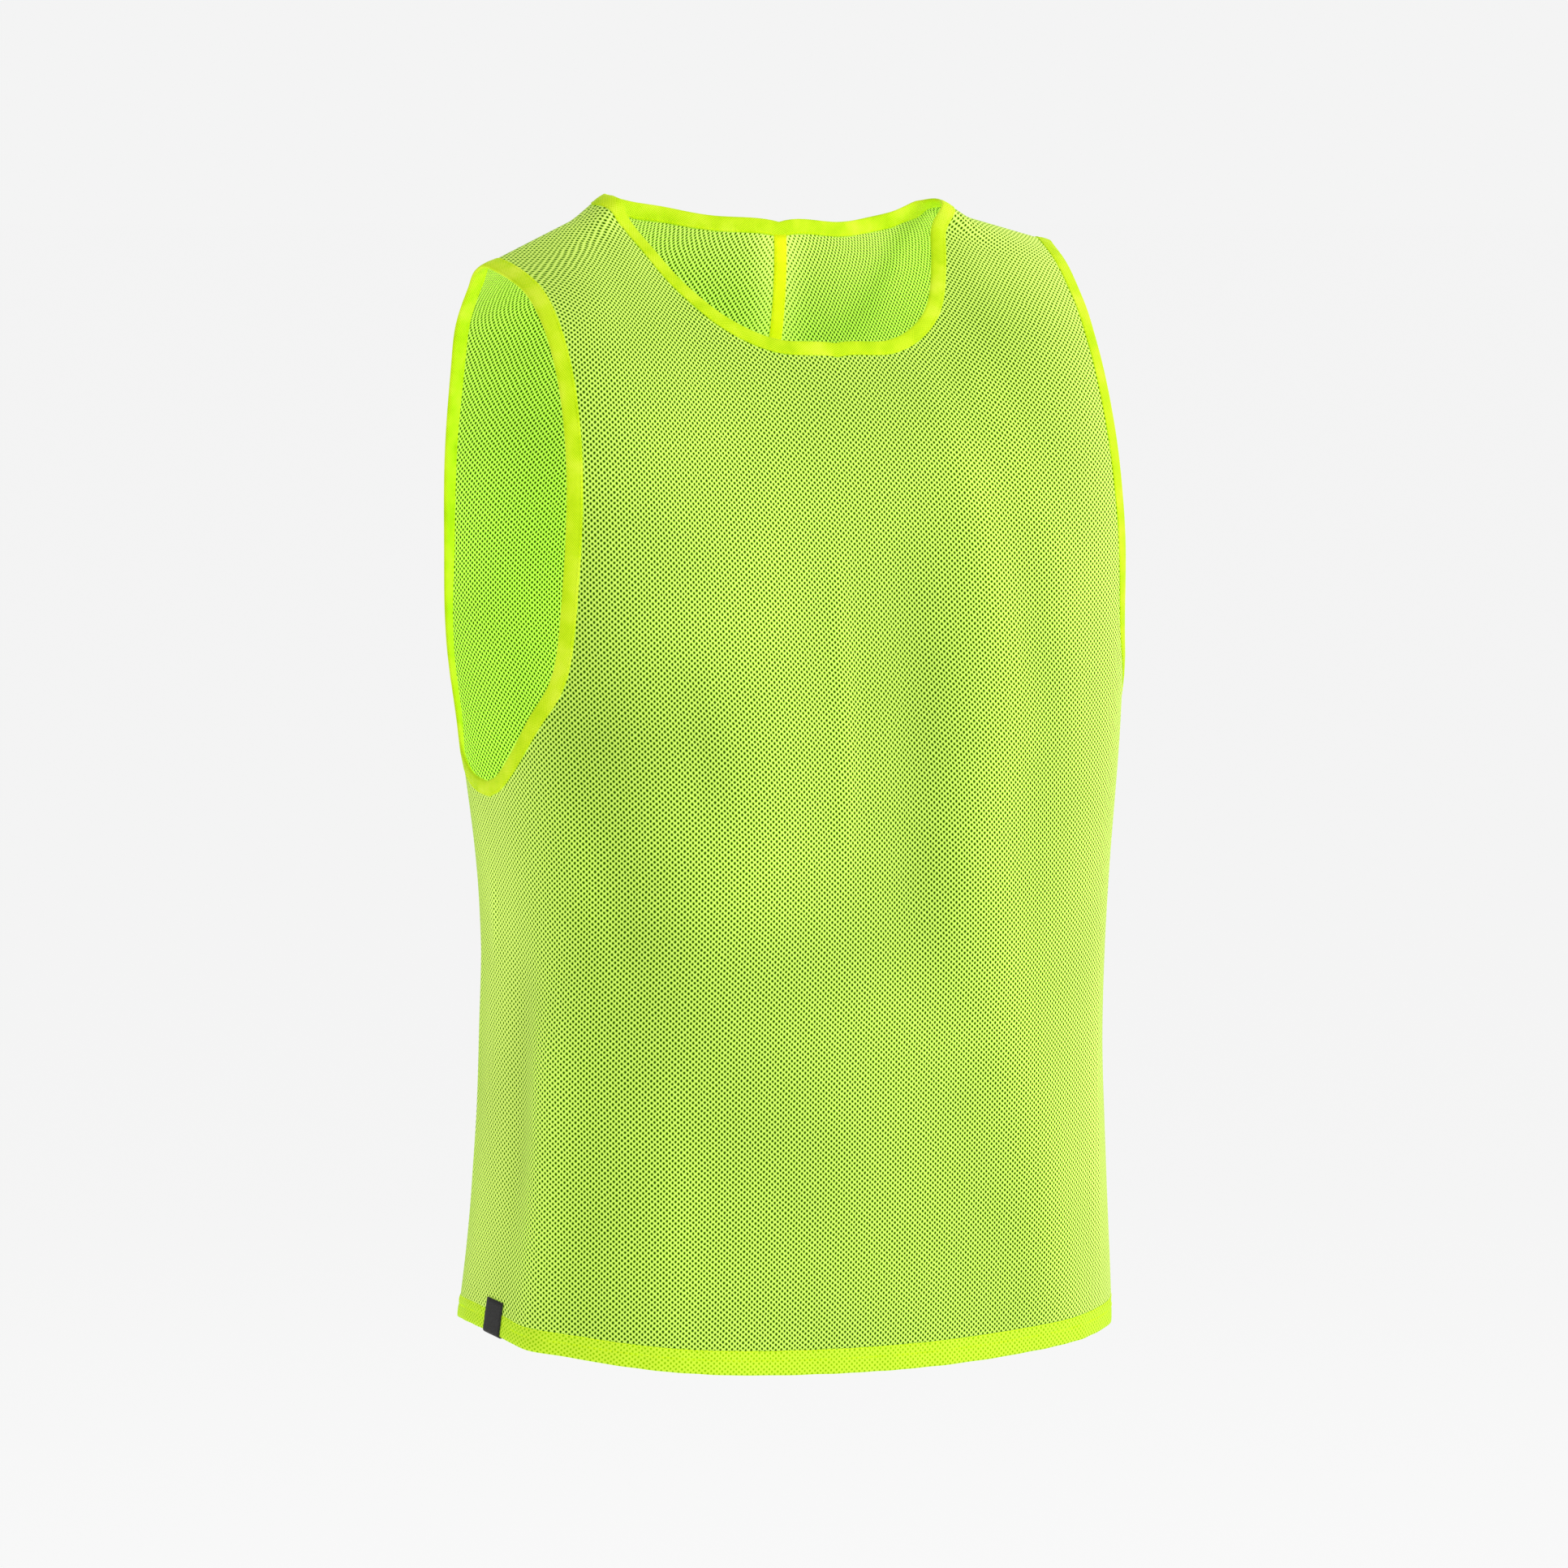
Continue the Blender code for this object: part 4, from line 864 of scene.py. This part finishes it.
def seam_tape():
    """Closed flat strip down the centre back: seven places across, its face rounded at both sides."""
    level = np.linspace(0.0705, HEM_LEVEL - 0.0175, 150)
    angle = np.full_like(level, math.pi)
    place, way = middle(angle, level), outward(angle, level)
    across = unit(middle(angle + 0.004, level) - middle(angle - 0.004, level))
    profile = [(-0.0040, -0.00034), (0.0, -0.00040), (0.0040, -0.00034), (0.0040, -0.00075),
               (0.0034, -0.00105), (0.0016, -0.00125), (0.0, -0.00130), (-0.0016, -0.00125),
               (-0.0034, -0.00105), (-0.0040, -0.00075)]
    rings = np.stack([place + x * across + y * way for x, y in profile], axis=1)
    count, around = rings.shape[:2]
    grain = ring_map(run_along(place), run_along(rings[0]), count - 1, around)
    return rings.reshape(-1, 3), closed_rings(rings)[:-around], grain, (place, across, way)


tape_points, tape_faces, tape_grain, tape_line = seam_tape()
tape_faces, tape_grain = outside_out(tape_points, tape_faces, tape_grain)
last_ring = len(tape_points) - 10
tape_faces = tape_faces.tolist() + [list(range(9, -1, -1)), list(range(last_ring, last_ring + 10))]
tape_grain = list(tape_grain) + [np.zeros((10, 2))] * 2
back_tape = cloth_object("back_seam_tape_knit", tape_points, tape_faces, tape_grain, TAPE_YELLOW)
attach(back_tape, "root")
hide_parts("back_seam_tape")


# Label: a bare black woven ribbon, 18 mm wide, folded under the hem below the wearer's right arm.
# Damask weave, dull, with a fine twill.
LABEL_AT = math.radians(-80.45)
LABEL_HALF = 0.0090


def black_weave():
    """Black ribbon: fine crossing ribs of warp and weft, painted a little paler on their tops as a
    highlight.
    """
    made, tree, shader = new_material("black_woven_damask_ribbon")
    grain = add(tree, "ShaderNodeUVMap", {"uv_map": "grain"}).outputs["UV"]
    cells = add(tree, "ShaderNodeVectorMath", {"operation": "MULTIPLY"}, {0: grain},
                _1=(2 * math.pi / 0.0005, 2 * math.pi / 0.0007, 1.0))
    waves = add(tree, "ShaderNodeVectorMath", {"operation": "SINE"}, {0: cells.outputs[0]})
    split = add(tree, "ShaderNodeSeparateXYZ", None, {0: waves.outputs[0]})
    ribs = add(tree, "ShaderNodeMath", {"operation": "ADD"}, {0: split.outputs[0], 1: split.outputs[1]})
    ramp = add(tree, "ShaderNodeValToRGB", None, {"Fac": ribs.outputs[0]})
    ramp.color_ramp.elements[0].color = linear("#121210")
    ramp.color_ramp.elements[1].color = linear("#22221E")
    tree.links.new(ramp.outputs["Color"], shader.inputs["Base Color"])
    shader.inputs["Roughness"].default_value = 0.7
    shader.inputs["Sheen Weight"].default_value = 0.05
    bump = add(tree, "ShaderNodeBump", None, {"Height": ribs.outputs[0]}, Strength=0.5, Distance=0.0001)
    tree.links.new(bump.outputs["Normal"], shader.inputs["Normal"])
    return made


def hem_label():
    """Ribbon down the hem's outer face, round its fold and up inside: the body's middle moved out."""
    spots = [(0.0238, 0.00060), (0.0205, 0.00078), (0.0160, 0.00080), (0.0120, 0.00100),
             (0.0080, 0.00085), (0.0040, 0.00100), (0.0010, 0.00105)]
    rows = []
    ends = middle(LABEL_AT + np.array([-0.02, 0.02]), np.array([0.69, 0.69]))
    across = LABEL_AT + 0.04 / np.linalg.norm(ends[1] - ends[0]) * LABEL_HALF * np.linspace(-1.0, 1.0, 9)
    for height, out in spots:
        level = np.full(9, HEM_LEVEL - height)
        rows.append(middle(across, level) + out * outward(across, level))
    base = np.full(9, HEM_LEVEL - 0.0010)
    low, side = middle(across, base), outward(across, base)
    down = unit(middle(across, base + 0.001) - middle(across, base - 0.001))
    for turn in np.radians((30.0, 70.0, 110.0, 150.0)):
        rows.append(low + (0.0015 * math.cos(turn) - 0.0004) * side + 0.0016 * math.sin(turn) * down)
    for height, into in ((0.0010, 0.0020), (0.0050, 0.0021), (0.0090, 0.0021)):
        level = np.full(9, HEM_LEVEL - height)
        rows.append(middle(across, level) - into * outward(across, level))
    rows = np.stack(rows)
    normal = unit(np.cross(np.gradient(rows, axis=0), np.gradient(rows, axis=1)))
    normal = normal * np.sign(np.sum(normal[0, 4] * outward(across, base)[4]))
    thick = 0.00045
    top, bottom = rows + thick * normal, rows
    ring = np.concatenate([top, bottom[:, ::-1]], axis=1)
    count, around = ring.shape[:2]
    grain = ring_map(run_along(rows[:, 4]), run_along(ring[0]), count - 1, around)
    first_end = np.array([[k, k + 1, 16 - k, 17 - k] for k in range(8)])
    last_end = first_end + (count - 1) * around
    faces = np.concatenate([closed_rings(ring)[:-around], first_end[:, ::-1], last_end])
    return ring.reshape(-1, 3), faces, np.concatenate([grain, np.zeros((16, 4, 2))])


label_points, label_faces, label_grain = hem_label()
label_faces, label_grain = outside_out(label_points, label_faces, label_grain)
ribbon = cloth_object("black_hem_label", label_points, label_faces, label_grain, black_weave())
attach(ribbon, "root")
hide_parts("side_label")


# Sewing: lockstitches of bright lime thread, 0.45 mm thick, 2.1 mm long at a pitch of 3 mm.
# Two rows hold the hem and two the tape, and one row each side of a binding; each stitch dips into
# the cloth at its ends.
THREAD = fine_knit("bright_lime_polyester_thread", "#C8E800", "#E4FF00", "#F4FF50", 0.0006, 0.0006)


def stitch_row(name, path, way, pitch=0.0030, length=0.0021, half=0.00023, closed=True):
    """Row of stitches: at even steps of the path's length a five-sided spindle lies along the path,
    thickest in its middle, its ends sunk into the cloth by the square of their distance."""
    line_points = np.concatenate([path, path[:1]]) if closed else path
    line_ways = np.concatenate([way, way[:1]]) if closed else way
    run = run_along(line_points)
    spots = np.arange(0.5 * pitch, run[-1], run[-1] / max(1, round(run[-1] / pitch)))

    def at(table, where):
        return np.stack([np.interp(where, run, table[:, k]) for k in range(3)], axis=-1)

    place = at(line_points, spots)
    ahead = unit(at(line_points, spots + 0.0005) - at(line_points, spots - 0.0005))
    up = at(line_ways, spots)
    side = unit(np.cross(ahead, up))
    up = np.cross(side, ahead)
    t = np.array([-0.5, -0.25, 0.25, 0.5])
    size = half * np.array([0.45, 1.0, 1.0, 0.45])
    turn = np.arange(5) * 2.0 * math.pi / 5.0
    reach = (t * length)[None, :, None, None] * ahead[:, None, None, :]
    sink = (-0.0011 * t * t)[None, :, None, None] * up[:, None, None, :]
    round_it = size[None, :, None, None] * (np.cos(turn)[None, None, :, None] * side[:, None, None, :]
                                            + np.sin(turn)[None, None, :, None] * up[:, None, None, :])
    points = (place[:, None, None, :] + reach + sink + round_it).reshape(-1, 3)
    base = np.arange(len(spots))[:, None, None] * 20 + np.arange(3)[None, :, None] * 5
    first = base + np.arange(5)
    second = base + np.roll(np.arange(5), -1)
    quads = np.stack([first, first + 5, second + 5, second], axis=-1).reshape(-1, 4)
    starts = np.arange(len(spots))[:, None] * 20
    caps = np.concatenate([starts + np.arange(5), starts + 15 + np.arange(4, -1, -1)])
    quad_map = np.stack([np.stack([first * 0.0002, first * 0.0], axis=-1)] * 4, axis=3).reshape(-1, 4, 2)
    made = cloth_object(name, points, quads.tolist() + caps.tolist(),
                        [quad_map.reshape(-1, 2), np.zeros((len(caps) * 5, 2))], THREAD)
    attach(made, "root")
    return made


round_hem = np.linspace(-math.pi, math.pi, 600)[:-1]
for row_name, height in (("hem_sewing_upper", 0.0146), ("hem_sewing_lower", 0.0090)):
    row_level = np.full_like(round_hem, HEM_LEVEL - height)
    row_way = outward(round_hem, row_level)
    stitch_row(row_name, middle(round_hem, row_level) + 0.00042 * row_way, row_way)
for band_name, (edge_at, inner_at, edge_way, inner_way) in sewn_edges.items():
    row_way = 0.86 * inner_way + 0.14 * edge_way
    row_at = 0.86 * inner_at + 0.14 * edge_at
    stitch_row(band_name + "_sewing", row_at + 0.00088 * row_way, row_way)
    stitch_row(band_name + "_sewing_inside", row_at - 0.00088 * row_way, -row_way)
tape_at, tape_across, tape_way = tape_line
for row_name, reach in (("tape_sewing_left", 0.0030), ("tape_sewing_right", -0.0030)):
    stitch_row(row_name, tape_at + reach * tape_across - 0.00118 * tape_way, -tape_way,
                             closed=False)
